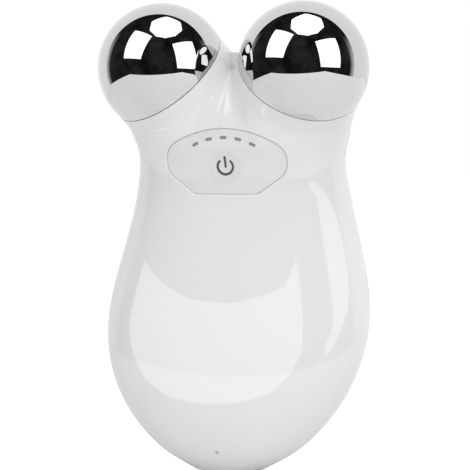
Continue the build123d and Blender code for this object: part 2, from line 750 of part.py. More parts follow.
def make_control_panel():
    plate = panel_prism(panel_outline(PANEL_GAP), ABOVE, DEEP) & panel_layer(PANEL_STEP, PANEL_BACK)
    plate = plate - panel_prism(Circle(BUTTON_RADIUS + BUTTON_GAP), ABOVE, DEEP)
    for slot in light_slots(LIGHT_LENGTH, LIGHT_WIDTH):
        plate = plate - panel_prism(slot, ABOVE, DEEP)
    keep("control_panel", plate)
    gasket = panel_prism(panel_outline(PANEL_GAP), ABOVE, DEEP) & panel_layer(PANEL_BACK, POCKET_FLOOR)
    keep("panel_gasket", gasket - panel_prism(panel_outline(LEDGE_WIDTH), ABOVE, DEEP))


def make_power_button():
    cap = panel_prism(Circle(BUTTON_RADIUS), ABOVE, BUTTON_BACK) & panel_layer(PANEL_STEP, DEEP)
    flange = panel_prism(Circle(FLANGE_RADIUS), FLANGE_FRONT, BUTTON_BACK)
    pusher = panel_prism(Circle(PUSHER_RADIUS), BUTTON_BACK - LAP, PUSHER_BACK - STEM_FACE_GAP)
    glyph = panel_prism(power_glyph(), ABOVE, BUTTON_BACK)
    symbol = glyph & (dish(SYMBOL_INLAY) - dish())
    keep("power_button", cap + flange + pusher - dish() - symbol)
    keep("power_symbol", symbol)


def make_switch():
    body = panel_prism(Rectangle(SWITCH_SIDE, SWITCH_SIDE), SWITCH_FRONT, BOARD_FRONT)
    well = panel_prism(Circle(STEM_RADIUS + STEM_GAP), ABOVE, SWITCH_WELL)
    corners = body.edges().filter_by(Axis(PANEL_ORIGIN, PANEL_OUT))
    keep("tact_switch", chamfer(corners, SWITCH_CHAMFER) - well)
    keep("switch_stem", panel_prism(Circle(STEM_RADIUS), PUSHER_BACK, STEM_BACK))


# ---------------------------------------------------------------- main board and what it carries
BOARD_BACK = BOARD_FRONT + BOARD_THICKNESS


def on_board(sketch, place, height, lift=0.0):
    """A component on the board's back, or lifted off it."""
    return panel_prism(Pos(*place) * sketch, BOARD_BACK + lift, BOARD_BACK + lift + height)


def make_main_board():
    middle = (BOARD_LOW + BOARD_HIGH) / 2
    plate = Pos(0, middle) * RectangleRounded(BOARD_WIDTH, BOARD_HIGH - BOARD_LOW, BOARD_CORNER)
    screws = []
    for x in (-BOARD_SCREW_X, BOARD_SCREW_X):
        plate = plate - Pos(x, BOARD_SCREW_UP) * Circle(SCREW_SHANK_RADIUS + SCREW_HOLE_GAP)
        head = on_board(Circle(HEAD_RADIUS), (x, BOARD_SCREW_UP), BOARD_SCREW_HEAD)
        under_head = panel_point(x, BOARD_SCREW_UP, BOARD_BACK)
        screws.append(head + along(under_head, PANEL_OUT, SCREW_SHANK_RADIUS, BOARD_SCREW_LENGTH))
    keep("main_board", panel_prism(plate, BOARD_FRONT, BOARD_BACK))
    keep("board_screws", *screws)


def make_board_parts():
    chip = RectangleRounded(CHIP_SIDE, CHIP_SIDE, CHIP_CORNER)
    keep("microcontroller", on_board(chip, CHIP_PLACE, CHIP_HEIGHT))
    flange = Circle(COIL_RADIUS)
    spool = (on_board(flange, COIL_PLACE, COIL_FLANGE)
             + on_board(Circle(COIL_CORE_RADIUS), COIL_PLACE, WINDING_HEIGHT, COIL_FLANGE)
             + on_board(flange, COIL_PLACE, COIL_FLANGE, COIL_FLANGE + WINDING_HEIGHT))
    winding = Circle(WINDING_RADIUS) - Circle(COIL_CORE_RADIUS)
    keep("boost_coil", spool, on_board(winding, COIL_PLACE, WINDING_HEIGHT, COIL_FLANGE))
    capacitor = Circle(CAPACITOR_RADIUS)
    keep("capacitors", *[on_board(capacitor, (x, CAPACITOR_UP), CAPACITOR_HEIGHT) for x in CAPACITOR_XS])
    keep("buzzer", on_board(Circle(BUZZER_RADIUS) - Circle(BUZZER_HOLE_RADIUS), BUZZER_PLACE, BUZZER_HEIGHT))
    places = (BATTERY_CONNECTOR, ELECTRODE_CONNECTOR, CHARGE_CONNECTOR)
    keep("connectors", *[on_board(Rectangle(*CONNECTOR_SIZE), place, CONNECTOR_HEIGHT) for place in places])


def socket_point(connector, side):
    """Where a lead ends on a connector's outer face, one each side of its middle."""
    x, up = connector
    return panel_point(x + side * LEAD_HALF_PITCH, up, BOARD_BACK + CONNECTOR_HEIGHT)


def make_level_lights():
    pipes = [panel_prism(slot, ABOVE, PIPE_BACK) & panel_layer(PANEL_STEP, DEEP)
             for slot in light_slots(LIGHT_LENGTH, LIGHT_WIDTH)]
    keep("level_light_pipes", *pipes)
    length, width, height = LED_SIZE
    chips = at_lights(Rectangle(length, width))
    keep("led_chips", *[panel_prism(chip, BOARD_FRONT - height, BOARD_FRONT) for chip in chips])
    block = Pos(0, (BAFFLE_LOW + BAFFLE_HIGH) / 2) * RectangleRounded(
        2 * BAFFLE_HALF_WIDTH, BAFFLE_HIGH - BAFFLE_LOW, BAFFLE_CORNER)
    baffle = panel_prism(block, BAFFLE_FRONT, BOARD_FRONT)
    for slot in light_slots(LIGHT_LENGTH, LIGHT_WIDTH):
        baffle = baffle - panel_prism(slot, 0, PIPE_BACK)
    for slot in light_slots(length + 2 * LED_POCKET_GAP, width + 2 * LED_POCKET_GAP):
        baffle = baffle - panel_prism(slot, PIPE_BACK, BOARD_FRONT)
    keep("led_baffle", baffle)


# ---------------------------------------------------------------- spheres and what holds them
def sphere_profile():
    """Half section of a hollow cap with a collar and a central threaded post."""
    rim = -SEAM_DROP + SEAL_THICKNESS
    inside = BALL_RADIUS - SPHERE_WALL
    shell = Sphere(BALL_RADIUS) & Pos(0, 0, BALL_RADIUS) * Box(FAR, FAR, 2 * BALL_RADIUS)
    skirt = turned([(0, 0), (BALL_RADIUS, 0), (SEAM_RADIUS, rim), (0, rim)])
    room = (Sphere(inside) & Pos(0, 0, FAR / 2) * Box(FAR, FAR, FAR)) + turned(
        [(0, 0), (inside, 0), (inside, rim + SPHERE_WALL), (COLLAR_RADIUS - COLLAR_WALL, rim + SPHERE_WALL),
         (COLLAR_RADIUS - COLLAR_WALL, rim), (0, rim)])
    collar_front = rim + SPHERE_WALL / 2
    collar = turned([(COLLAR_RADIUS - COLLAR_WALL, collar_front), (COLLAR_RADIUS, collar_front),
                     (COLLAR_RADIUS, COLLAR_BACK), (COLLAR_RADIUS - COLLAR_WALL, COLLAR_BACK)])
    post_top = inside + SPHERE_WALL / 2
    post = turned([(SCREW_SHANK_RADIUS, COLLAR_BACK), (POST_RADIUS, COLLAR_BACK), (POST_RADIUS, post_top),
                   (0, post_top), (0, SPHERE_SCREW_REACH), (SCREW_SHANK_RADIUS, SPHERE_SCREW_REACH)])
    return shell + skirt - room + collar + post


def make_heads():
    sphere = sphere_profile()
    seal_front = -SEAM_DROP + SEAL_THICKNESS
    seal_edge = SEAM_RADIUS - SEAL_INSET
    seal = turned([(COLLAR_RADIUS, -SEAM_DROP), (seal_edge, -SEAM_DROP),
                   (seal_edge, seal_front), (COLLAR_RADIUS, seal_front)])
    carrier_back = COLLAR_BACK - CARRIER_THICKNESS
    hole = SCREW_SHANK_RADIUS + SCREW_HOLE_GAP
    carrier = turned([(hole, carrier_back), (COLLAR_RADIUS, carrier_back),
                      (COLLAR_RADIUS, COLLAR_BACK), (hole, COLLAR_BACK)])
    window = Pos(CARRIER_WINDOW_PLACE, 0, COLLAR_BACK) * Cylinder(CARRIER_WINDOW_RADIUS, 4 * CARRIER_THICKNESS)
    for turn in (45, 135, 225, 315):
        carrier = carrier - Rot(0, 0, turn) * window
    terminal_back = carrier_back - TERMINAL_THICKNESS
    terminal = turned([(hole, terminal_back), (TERMINAL_RADIUS, terminal_back),
                       (TERMINAL_RADIUS, carrier_back), (hole, carrier_back)])
    tail = Pos(0, TERMINAL_TAIL_PLACE, terminal_back + TERMINAL_THICKNESS / 2) * Box(
        *TERMINAL_TAIL, TERMINAL_THICKNESS)
    head_back = terminal_back - HEAD_HEIGHT
    screw = turned([(0, head_back), (HEAD_RADIUS, head_back), (HEAD_RADIUS, terminal_back),
                    (SCREW_SHANK_RADIUS, terminal_back), (SCREW_SHANK_RADIUS, SPHERE_SCREW_REACH - 1),
                    (0, SPHERE_SCREW_REACH - 1)])
    screws = []
    terminals = []
    for side, name in ((-1, "left"), (1, "right")):
        frame = arm_plane(side)
        keep(f"{name}_sphere", frame * sphere)
        keep(f"{name}_seat_ring", frame * seal)
        keep(f"{name}_carrier", frame * carrier)
        terminals.append(frame * (terminal + tail))
        screws.append(frame * screw)
        end = frame.from_local_coords(Vector(0, 5.4, terminal_back - LEAD_RADIUS))
        drop = frame.from_local_coords(Vector(0, 6.4, terminal_back - 5.0))
        socket = socket_point(ELECTRODE_CONNECTOR, side) - PANEL_OUT * LEAD_RADIUS / 2
        stub = socket - PANEL_OUT * 3.0
        keep(f"{name}_electrode_lead", tube([end, drop, stub, socket], LEAD_RADIUS))
    keep("sphere_screws", *screws)
    keep("electrode_terminals", *terminals)


# ---------------------------------------------------------------- battery, inlet and lamp
def make_battery():
    x, y, z = CELL_CENTRE
    width, depth, height = CELL_SIZE
    cell = Pos(x, y, z) * Box(width, depth, height)
    keep("battery_cell", fillet(cell.edges().filter_by(Axis.Z), CELL_CORNER))
    back = y + depth / 2
    plate = Pos(x, back + TRAY_WALL / 2, z) * Box(width + 2 * TRAY_WALL, TRAY_WALL, height + 2 * TRAY_WALL)
    for side in (-1, 1):
        cheek = Box(TRAY_WALL, TRAY_DEPTH, height)
        plate = plate + Pos(side * (width + TRAY_WALL) / 2, back - TRAY_DEPTH / 2, z) * cheek
    shelf = Box(width + 2 * TRAY_WALL, TRAY_DEPTH, TRAY_WALL)
    for end in (-1, 1):
        plate = plate + Pos(x, back - TRAY_DEPTH / 2, z + end * (height + TRAY_WALL) / 2) * shelf
    notch = Pos(x - LEAD_INSET, back - TRAY_DEPTH / 2, z + (height + TRAY_WALL) / 2) * Box(
        LEAD_NOTCH_WIDTH, 2 * TRAY_DEPTH, 3 * TRAY_WALL)
    keep("battery_tray", plate - notch)
    leads = []
    for side in (-1, 1):
        top = Vector(x - LEAD_INSET + side * LEAD_HALF_PITCH, y + 1.8, z + height / 2)
        socket = socket_point(BATTERY_CONNECTOR, side)
        route = [top, top + Vector(0, 0, 3.0), Vector(-11.0 + side * LEAD_HALF_PITCH, 11.0, 68.0),
                 socket - PANEL_OUT * 6.0, socket]
        leads.append(tube(route, LEAD_RADIUS))
    keep("battery_leads", *leads)


def make_inlet():
    mouth = INLET_PLANE
    can = extrude(mouth * inlet_slot(0), amount=-INLET_LENGTH)
    room = extrude(mouth * inlet_slot(-INLET_WALL), amount=-(INLET_LENGTH - INLET_WALL))
    keep("charge_socket", can - room)
    width, length, height = TONGUE_SIZE
    tongue_y = INLET_MOUTH_Y - (INLET_LENGTH - INLET_WALL) + length / 2
    keep("charge_tongue", Pos(0, tongue_y, INLET_Z) * Box(width, length, height))
    board_width, board_length, board_height = CHARGE_BOARD_SIZE
    top = INLET_Z - INLET_HEIGHT / 2
    board_y = INLET_MOUTH_Y - CHARGE_BOARD_BACK - board_length / 2
    keep("charge_board", Pos(0, board_y, top - board_height / 2) * Box(board_width, board_length, board_height))
    leads = []
    for side in (-1, 1):
        start = Vector(CHARGE_LEAD_X + side * 0.7, board_y - board_length / 2 + 1.0, top)
        socket = socket_point(CHARGE_CONNECTOR, side)
        beside = 15.05 + side * 0.65
        route = [start, start + Vector(0, 0, 2.6), Vector(beside, 2.6, 17.0), Vector(beside, 3.6, 29.0),
                 Vector(beside, 7.5, 57.0), socket - PANEL_OUT * 6.0, socket]
        leads.append(tube(route, LEAD_RADIUS))
    keep("charge_leads", *leads)


def make_lamp():
    pipe = along(PINHOLE - PIPE_DIRECTION, PIPE_DIRECTION, PINHOLE_RADIUS, PIPE_LENGTH + 1) & outer
    keep("charge_indicator", pipe)
    tip = PINHOLE + PIPE_DIRECTION * PIPE_LENGTH
    width, height, depth = CHARGE_LED_SIZE
    chip = Plane(origin=tip, z_dir=PIPE_DIRECTION) * Rectangle(width, height)
    keep("charge_led", extrude(chip, amount=depth))


make_front_shell()
make_rear_shell()
make_shell_fixings()
make_foot()
make_control_panel()
make_power_button()
make_switch()
make_main_board()
make_board_parts()
make_level_lights()
make_heads()
make_battery()
make_inlet()
make_lamp()

os.makedirs("parts", exist_ok=True)
for name, shape in PARTS.items():
    export_step(shape, f"parts/{name}.step")
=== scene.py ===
"""Hand-held facial toning device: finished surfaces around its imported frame.

Shapes are worked out in millimetres and put into metres where a mesh is made. +Z is up and the
control panel faces -Y; left and right are the viewer's, looking at the panel.
"""

import bmesh
import bpy
import numpy as np
from mathutils import Matrix


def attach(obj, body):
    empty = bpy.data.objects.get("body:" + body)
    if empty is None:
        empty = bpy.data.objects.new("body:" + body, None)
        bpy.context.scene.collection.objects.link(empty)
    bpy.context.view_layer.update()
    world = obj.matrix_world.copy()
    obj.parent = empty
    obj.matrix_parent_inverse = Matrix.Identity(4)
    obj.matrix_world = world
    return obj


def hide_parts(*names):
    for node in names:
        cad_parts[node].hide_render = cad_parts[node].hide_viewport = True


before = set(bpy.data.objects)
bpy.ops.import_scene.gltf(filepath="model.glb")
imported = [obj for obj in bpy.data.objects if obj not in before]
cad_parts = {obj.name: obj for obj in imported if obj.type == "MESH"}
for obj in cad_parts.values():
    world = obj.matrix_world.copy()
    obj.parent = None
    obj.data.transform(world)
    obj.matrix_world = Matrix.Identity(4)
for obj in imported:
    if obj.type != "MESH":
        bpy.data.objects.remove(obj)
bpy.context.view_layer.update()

# ---- camera
# A long lens at the height of the panel, to the right of the middle plane and almost level. Its
# angles are from the front toward +X, down from level, and a slight turn about its own axis.
CAMERA_PLACE = (0.10906, -0.38778, 0.07724)
CAMERA_AZIMUTH = np.radians(15.6)
CAMERA_DOWN = np.radians(3.0)
CAMERA_ROLL = np.radians(0.2)
SENSOR_WIDTH = 36.0
FOCAL_LENGTH = 129.3

camera = bpy.data.objects.new("camera", bpy.data.cameras.new("camera"))
camera.data.sensor_width = SENSOR_WIDTH
camera.data.lens = FOCAL_LENGTH
camera.data.clip_start = 0.01
camera.matrix_world = (Matrix.Translation(CAMERA_PLACE) @ Matrix.Rotation(CAMERA_AZIMUTH, 4, "Z")
                       @ Matrix.Rotation(np.pi / 2 - CAMERA_DOWN, 4, "X")
                       @ Matrix.Rotation(CAMERA_ROLL, 4, "Z"))
bpy.context.scene.collection.objects.link(camera)
bpy.context.scene.camera = camera

# ---- front shell
# The front half of the handle with the front halves of both arms: one injection moulding in
# white ABS from a polished tool, so the wall is even, the skin is glossy and only a faint
# waviness shows in its reflections. Four screws from the rear shell hold it.
MM = 0.001
BALL_RADIUS = 15.5
BALL_CENTRE = np.array([17.4, -0.3, 96.0])
AXIS_OUT = np.radians(32.7)
AXIS_LEAN = np.radians(35.5)
AXIS = np.array([np.sin(AXIS_OUT) * np.cos(AXIS_LEAN), -np.sin(AXIS_LEAN),
                 np.cos(AXIS_OUT) * np.cos(AXIS_LEAN)])
SEAM_DROP = 2.5
SEAM_RADIUS = 15.4
ARM_LENGTH = 15.0
ARM_FLARE = 0.4
BASE_Z = 0.5
# height, half width, y of the widest plane, y of the front, y of the back
STATIONS = np.array([
    (BASE_Z, 8.6, -0.1, -7.9, 7.9),
    (3.0, 13.4, -0.7, -10.3, 10.5),
    (8.0, 20.0, -0.9, -12.7, 14.1),
    (16.0, 26.5, 0.0, -13.9, 17.9),
    (26.0, 30.9, 2.5, -13.9, 21.1),
    (37.0, 32.2, 6.4, -12.5, 23.3),
    (50.0, 30.1, 9.9, -9.5, 23.7),
    (62.0, 27.2, 11.1, -6.7, 23.1),
    (73.0, 24.9, 9.5, -6.0, 22.7),
    (80.0, 23.4, 8.8, -7.7, 21.9),
])
SECTION_POWER = 2.35
CROWN_Z = 77.0
CROWN_RISE = 12.5
BLEND_AT_SEAM = 0.3
BLEND_BELOW = 2.2
BLEND_LENGTH = 7.0
WEB_START = 7.0
WEB_LENGTH = 7.0
WEB_BELOW = 5.0
WALL = 1.8
PARTING_BEHIND_WIDEST = 3.4
PARTING_SOFTNESS = 2.0
WAIST_Z = 60.0
EDGE_BREAK = 0.07
COLUMNS = 96
LOW_ROWS = 80
HIGH_ROWS = 26
SEAM_COLUMNS = 51
SADDLE_COLUMNS = 19
MERGE_DISTANCE = 0.002
SHARP_ANGLE = np.radians(35.0)


def smooth_curve(heights, values):
    """A natural cubic spline through (height, value) stations, held level past both ends."""
    n = len(heights)
    step = np.diff(heights)
    matrix = np.eye(n)
    right = np.zeros(n)
    for i in range(1, n - 1):
        matrix[i, i - 1:i + 2] = step[i - 1], 2 * (step[i - 1] + step[i]), step[i]
        right[i] = 6 * ((values[i + 1] - values[i]) / step[i] - (values[i] - values[i - 1]) / step[i - 1])
    bend = np.linalg.solve(matrix, right)

    def at(z):
        z = np.clip(z, heights[0], heights[-1])
        i = np.clip(np.searchsorted(heights, z) - 1, 0, n - 2)
        below = z - heights[i]
        above = heights[i + 1] - z
        cubic = (bend[i] * above**3 + bend[i + 1] * below**3) / (6 * step[i])
        low = (values[i] / step[i] - bend[i] * step[i] / 6) * above
        high = (values[i + 1] / step[i] - bend[i + 1] * step[i] / 6) * below
        return cubic + low + high

    return at


half_width, widest_y, front_y, back_y = [smooth_curve(STATIONS[:, 0], STATIONS[:, k]) for k in (1, 2, 3, 4)]


def handle_depth(x, y, z):
    """Below zero inside the handle: radius from its spine times (1 - 1 / superellipse size)."""
    level = np.minimum(z, CROWN_Z)
    across = y - widest_y(level)
    reach = np.where(across < 0, widest_y(level) - front_y(level), back_y(level) - widest_y(level))
    rise = np.maximum(z - CROWN_Z, 0)
    terms = (np.abs(x) / half_width(level), np.abs(across) / reach, rise / CROWN_RISE)
    size = sum(t**SECTION_POWER for t in terms) ** (1 / SECTION_POWER)
    radius = np.sqrt(x * x + across * across + rise * rise)
    return np.where(size > 1e-3, radius * (1 - 1 / np.maximum(size, 1e-3)), -WALL * 5)


def arm_depth(p, side):
    """Distance outside a slightly flared round arm, and how far below the sphere's centre p is."""
    mirror = np.array([side, 1, 1])
    d = p - BALL_CENTRE * mirror
    drop = -(d @ (AXIS * mirror))
    held = np.clip(drop, 0, ARM_LENGTH)
    along = (np.maximum(held, SEAM_DROP) - SEAM_DROP) / (ARM_LENGTH - SEAM_DROP)
    off_axis = np.linalg.norm(d + held[..., None] * AXIS * mirror, axis=-1)
    return off_axis - SEAM_RADIUS - ARM_FLARE * along**2, drop


def fillet_size(drop, start, length, below):
    """Size of a fillet: small at the seam, then growing smoothly to its full size down the arm."""
    fade = np.clip((drop - start) / length, 0, 1)
    return BLEND_AT_SEAM + (below - BLEND_AT_SEAM) * fade * fade * (3 - 2 * fade)


def smooth_least(a, b, size):
    """The lesser of two depths, rounded over where they are closer than the fillet's size."""
    lowest = np.minimum(a, b)
    return lowest - size * np.log(np.exp(-(a - lowest) / size) + np.exp(-(b - lowest) / size))


def skin(p):
    """Below zero inside: the two arms with a web between them, then blended with the handle."""
    q = np.stack([np.abs(p[..., 0]), p[..., 1], p[..., 2]], -1)
    near_arm, drop = arm_depth(q, 1)
    far_arm, _ = arm_depth(q, -1)
    arms = smooth_least(near_arm, far_arm, fillet_size(drop, WEB_START, WEB_LENGTH, WEB_BELOW))
    handle = handle_depth(q[..., 0], q[..., 1], q[..., 2])
    return smooth_least(handle, arms, fillet_size(drop, SEAM_DROP, BLEND_LENGTH, BLEND_BELOW))


def skin_slope(p, step=1e-4):
    """The skin formula's gradient, by central differences."""
    return np.stack([(skin(p + step * e) - skin(p - step * e)) / (2 * step) for e in np.eye(3)], -1)


def skin_normal(p):
    """The skin formula's gradient, divided by its length."""
    slope = skin_slope(p)
    return slope / np.linalg.norm(slope, axis=-1)[..., None]


def settle(p, rounds=12, least_slope=0.05, longest_move=2.5):
    """Moves points along the gradient onto the skin: each by the formula's value over its slope."""
    for _ in range(rounds):
        slope = skin_slope(p)
        move = skin(p) / np.maximum((slope * slope).sum(-1), least_slope)
        p = p - np.clip(move, -longest_move, longest_move)[..., None] * slope
    return p


def cast(origin, direction, level=0.0, reach=60.0, rounds=40):
    """Where rays from inside cross one level of the skin formula, by halving the interval."""
    low = np.zeros(np.broadcast_shapes(origin.shape, direction.shape)[:-1])
    high = np.full_like(low, reach)
    for _ in range(rounds):
        middle = (low + high) / 2
        inside = skin(origin + middle[..., None] * direction) < level
        low = np.where(inside, middle, low)
        high = np.where(inside, high, middle)
    return origin + low[..., None] * direction


def arm_line_y(z):
    """Y of the arms' middle plane, which leans forward as it rises, through the spheres' centres."""
    return BALL_CENTRE[1] + (BALL_CENTRE[2] - z) * -AXIS[1] / AXIS[2]


def parting_y(z):
    """The shells part a little behind the widest plane, then along the arms' middle plane."""
    body = widest_y(z) + PARTING_BEHIND_WIDEST
    return -PARTING_SOFTNESS * np.log(
        np.exp(-body / PARTING_SOFTNESS) + np.exp(-arm_line_y(z) / PARTING_SOFTNESS))


def fan(angles):
    """Level directions: 0 is straight to the front, 90 degrees is +X, 180 is the back."""
    return np.stack([np.sin(angles), -np.cos(angles), np.zeros_like(angles)], -1)


def spine(z):
    """Points on the handle's spine: on the middle plane, level with the widest line."""
    z = np.asarray(z, float)
    return np.stack([np.zeros_like(z), widest_y(z), z], -1)


def parting_angle(z, level):
    """The fan angle at which the skin's level meets the parting line, by halving."""
    low = np.full_like(z, 0.3)
    high = np.full_like(z, np.pi - 0.05)
    for _ in range(26):
        middle = (low + high) / 2
        ahead = cast(spine(z), fan(middle), level)[..., 1] < parting_y(z)
        low = np.where(ahead, middle, low)
        high = np.where(ahead, high, middle)
    return low


def respace(line, count):
    """Points evenly spaced along a polyline."""
    far = np.concatenate([[0], np.cumsum(np.linalg.norm(np.diff(line, axis=0), axis=1))])
    at = np.linspace(0, far[-1], count)
    return np.stack([np.interp(at, far, line[:, k]) for k in range(line.shape[1])], -1)


def over_skin(start, end, count, fine=80):
    """A line over the skin from start to end: a straight one pressed onto it and re-spaced."""
    line = start + (end - start) * np.linspace(0, 1, fine)[:, None]
    for _ in range(4):
        line[1:-1] = settle(line)[1:-1]
        line = respace(line, fine)
    line = respace(line, count)
    line[1:-1] = settle(line)[1:-1]
    return line


SEAM_BACK = np.cross([1, 0, 0], [0, AXIS[1], AXIS[2]])
SEAM_BACK = SEAM_BACK / np.linalg.norm(SEAM_BACK) * np.sign(SEAM_BACK[1])
SEAM_OUT = np.cross(SEAM_BACK, AXIS)
SEAM_OUT = SEAM_OUT * np.sign(SEAM_OUT[0])
SEAM_CENTRE = BALL_CENTRE - SEAM_DROP * AXIS


def seam_arc(start, stop, count):
    """Part of the right seam circle: 0 points outward, 90 degrees to the rear."""
    a = np.linspace(start, stop, count)[:, None]
    return SEAM_CENTRE + SEAM_RADIUS * (np.cos(a) * SEAM_OUT + np.sin(a) * SEAM_BACK)


def parting_rise(waist_end, count):
    """The parting line from the waist up the outside of the right arm to the seam circle."""
    end = seam_arc(0, 0, 1)[0]
    z = np.linspace(waist_end[2], end[2], 160)
    start = np.stack([np.full_like(z, 10.0), parting_y(z), z], -1)
    line = cast(start, np.array([1.0, 0, 0]), reach=40.0)
    line[0], line[-1] = waist_end, end
    return respace(line, count)


def saddle_point():
    """Where the parting line crosses the middle plane, in the valley between the arms."""
    low, high = 70.0, 100.0
    for _ in range(40):
        middle = (low + high) / 2
        inside = skin(np.array([0.0, float(parting_y(middle)), middle])) < 0
        low, high = (middle, high) if inside else (low, middle)
    return np.array([0.0, float(parting_y(low)), low])


def saddle_rise(count):
    """The parting line from the seam circle's inner point down to the saddle."""
    saddle = saddle_point()
    end = seam_arc(np.pi, np.pi, 1)[0]
    z = saddle[2] + (end[2] - saddle[2]) * np.linspace(0, 1, 200) ** 2
    start = BALL_CENTRE - ((BALL_CENTRE[2] - z) / AXIS[2])[:, None] * AXIS
    start[:, 1] = parting_y(z)
    line = cast(start, np.array([-1.0, 0, 0]), reach=30.0)
    line[0], line[-1] = saddle, end
    line[:, 0] = np.maximum(line[:, 0], 0)
    return respace(line, count)[::-1]


def skin_sheet(first, last, left, right, rounds=60):
    """A grid between four border lines: their ruled blend, evened out while pressed onto the skin."""
    u = np.linspace(0, 1, len(left))[:, None, None]
    v = np.linspace(0, 1, len(first))[None, :, None]
    grid = ((1 - u) * first[None] + u * last[None] + (1 - v) * left[:, None] + v * right[:, None]
            - (1 - u) * ((1 - v) * first[0] + v * first[-1]) - u * ((1 - v) * last[0] + v * last[-1]))
    grid[1:-1, 1:-1] = settle(grid)[1:-1, 1:-1]
    for _ in range(rounds):
        mean = (grid[:-2, 1:-1] + grid[2:, 1:-1] + grid[1:-1, :-2] + grid[1:-1, 2:]) / 4
        grid[1:-1, 1:-1] = settle(mean, 1)
    grid[1:-1, 1:-1] = settle(grid[1:-1, 1:-1], 4)
    return grid


def low_sheet(level, rear=False):
    """The handle below the waist, cast from the spine: the fan from the front to the parting line,
    or from there to the back, at one level of the skin formula.
    """
    z = np.linspace(BASE_Z - level, WAIST_Z, LOW_ROWS)
    share = np.linspace(0, 1, COLUMNS)
    parting = parting_angle(z, level)[:, None]
    angles = parting + (np.pi - parting) * share if rear else parting * share
    return cast(spine(z)[:, None], fan(angles), level)


# the panel's plane and the outline of the plate on it
PANEL_Z = 72.5
PANEL_TILT = np.radians(10.0)
PANEL_ORIGIN = np.array([0, float(front_y(PANEL_Z)), PANEL_Z])
PANEL_OUT = np.array([0, -np.cos(PANEL_TILT), -np.sin(PANEL_TILT)])
PANEL_UP = np.array([0, -np.sin(PANEL_TILT), np.cos(PANEL_TILT)])
PANEL_RIGHT = np.array([1.0, 0, 0])
PANEL_TOP = 9.1
PANEL_SHOULDER = (12.6, 5.35)
PANEL_SIDE = (14.7, 0.8)
PANEL_HIP = (13.4, -2.5)
PANEL_FOOT = (7.7, -6.4)
PANEL_SOFTENING = 1.6
POCKET_DEPTH = 1.55
POCKET_EDGE = 0.5
LEDGE_WIDTH = 1.2
LEDGE_BACK = 2.05


def arc_through(a, b, c, count=200):
    """An arc from a through b to c: its centre is as far from all three."""
    a, b, c = [np.array(v, float) for v in (a, b, c)]
    centre = np.linalg.solve(np.array([b - a, c - a]), np.array([b @ b - a @ a, c @ c - a @ a]) / 2)
    start, stop = [np.arctan2(*(p - centre)[::-1]) for p in (a, c)]
    t = np.linspace(start, stop, count)
    return centre + np.linalg.norm(a - centre) * np.stack([np.cos(t), np.sin(t)], -1)


def panel_path():
    """Right half of the plate's outline, bottom to top, with its normals.

    A running mean over the outline and its mirror image softens the corners.
    """
    left_shoulder = (-PANEL_SHOULDER[0], PANEL_SHOULDER[1])
    path = respace(np.concatenate([
        np.linspace((0, PANEL_FOOT[1]), PANEL_FOOT, 100),
        np.linspace(PANEL_FOOT, PANEL_HIP, 100),
        arc_through(PANEL_HIP, PANEL_SIDE, PANEL_SHOULDER),
        arc_through(PANEL_SHOULDER, (0, PANEL_TOP), left_shoulder)[:100],
        [(0, PANEL_TOP)],
    ]), 900)
    margin = 60  # points borrowed from the mirror image past each end
    mirrored = path * [-1, 1]
    longer = np.concatenate([mirrored[margin:0:-1], path, mirrored[-2:-margin - 2:-1]])
    window = int(PANEL_SOFTENING / np.linalg.norm(path[1] - path[0])) | 1
    mean = np.ones(window) / window
    soft = np.stack([np.convolve(longer[:, k], mean, "same") for k in (0, 1)], -1)[margin:-margin]
    along = np.gradient(soft, axis=0)
    normal = np.stack([along[:, 1], -along[:, 0]], -1)
    normal /= np.linalg.norm(normal, axis=1)[:, None]
    soft[[0, -1], 0] = 0
    normal[[0, -1], 0] = 0
    return soft, normal


OUTLINE, OUTLINE_NORMAL = panel_path()
SIDE_SHARE = np.linalg.norm(OUTLINE - np.array(PANEL_SIDE), axis=1).argmin() / (len(OUTLINE) - 1)


def outline(share, grow=0.0):
    """Points at a share of the half outline's length, moved out by grow."""
    at = np.linspace(0, 1, len(OUTLINE))
    return np.stack([np.interp(share, at, (OUTLINE + grow * OUTLINE_NORMAL)[:, k]) for k in (0, 1)], -1)


def on_plane(flat, depth):
    """Panel-plane points (right, up), moved inward by depth."""
    return PANEL_ORIGIN - depth * PANEL_OUT + flat[..., :1] * PANEL_RIGHT + flat[..., 1:] * PANEL_UP


def on_panel(flat, depth=0.0):
    """Panel-plane points cast from inside the handle onto the skin, then moved inward by depth."""
    return cast(on_plane(flat, 9.0), PANEL_OUT, reach=20.0) - np.asarray(depth)[..., None] * PANEL_OUT


def mirror(grid):
    """The left-hand copy of a right-hand grid, turned so that its faces still look outward."""
    return grid[::-1] * [-1, 1, 1]


def retreat(line, beside):
    """A border line drawn back toward the line beside it by the width of the broken edge."""
    away = beside - line
    return line + EDGE_BREAK * away / np.maximum(np.linalg.norm(away, axis=-1), 1e-9)[..., None]


def mesh_object(name, grids, material):
    """Point grids (rows x columns x xyz, mm) as one mesh of quads; coinciding points become one."""
    points = []
    quads = []
    count = 0
    for grid in grids:
        rows, columns = grid.shape[:2]
        index = count + np.arange(rows * columns).reshape(rows, columns)
        corners = (index[:-1, :-1], index[:-1, 1:], index[1:, 1:], index[1:, :-1])
        quads.append(np.stack(corners, -1).reshape(-1, 4))
        points.append(grid.reshape(-1, 3))
        count += rows * columns
    mesh = bpy.data.meshes.new(name)
    mesh.from_pydata((np.concatenate(points) * MM).tolist(), [], np.concatenate(quads).tolist())
    made = bmesh.new()
    made.from_mesh(mesh)
    bmesh.ops.remove_doubles(made, verts=made.verts, dist=MERGE_DISTANCE * MM)
    bmesh.ops.recalc_face_normals(made, faces=made.faces)
    made.to_mesh(mesh)
    made.free()
    mesh.shade_smooth()
    mesh.set_sharp_from_angle(angle=SHARP_ANGLE)
    mesh.materials.append(material)
    piece = bpy.data.objects.new(name, mesh)
    bpy.context.scene.collection.objects.link(piece)
    return piece


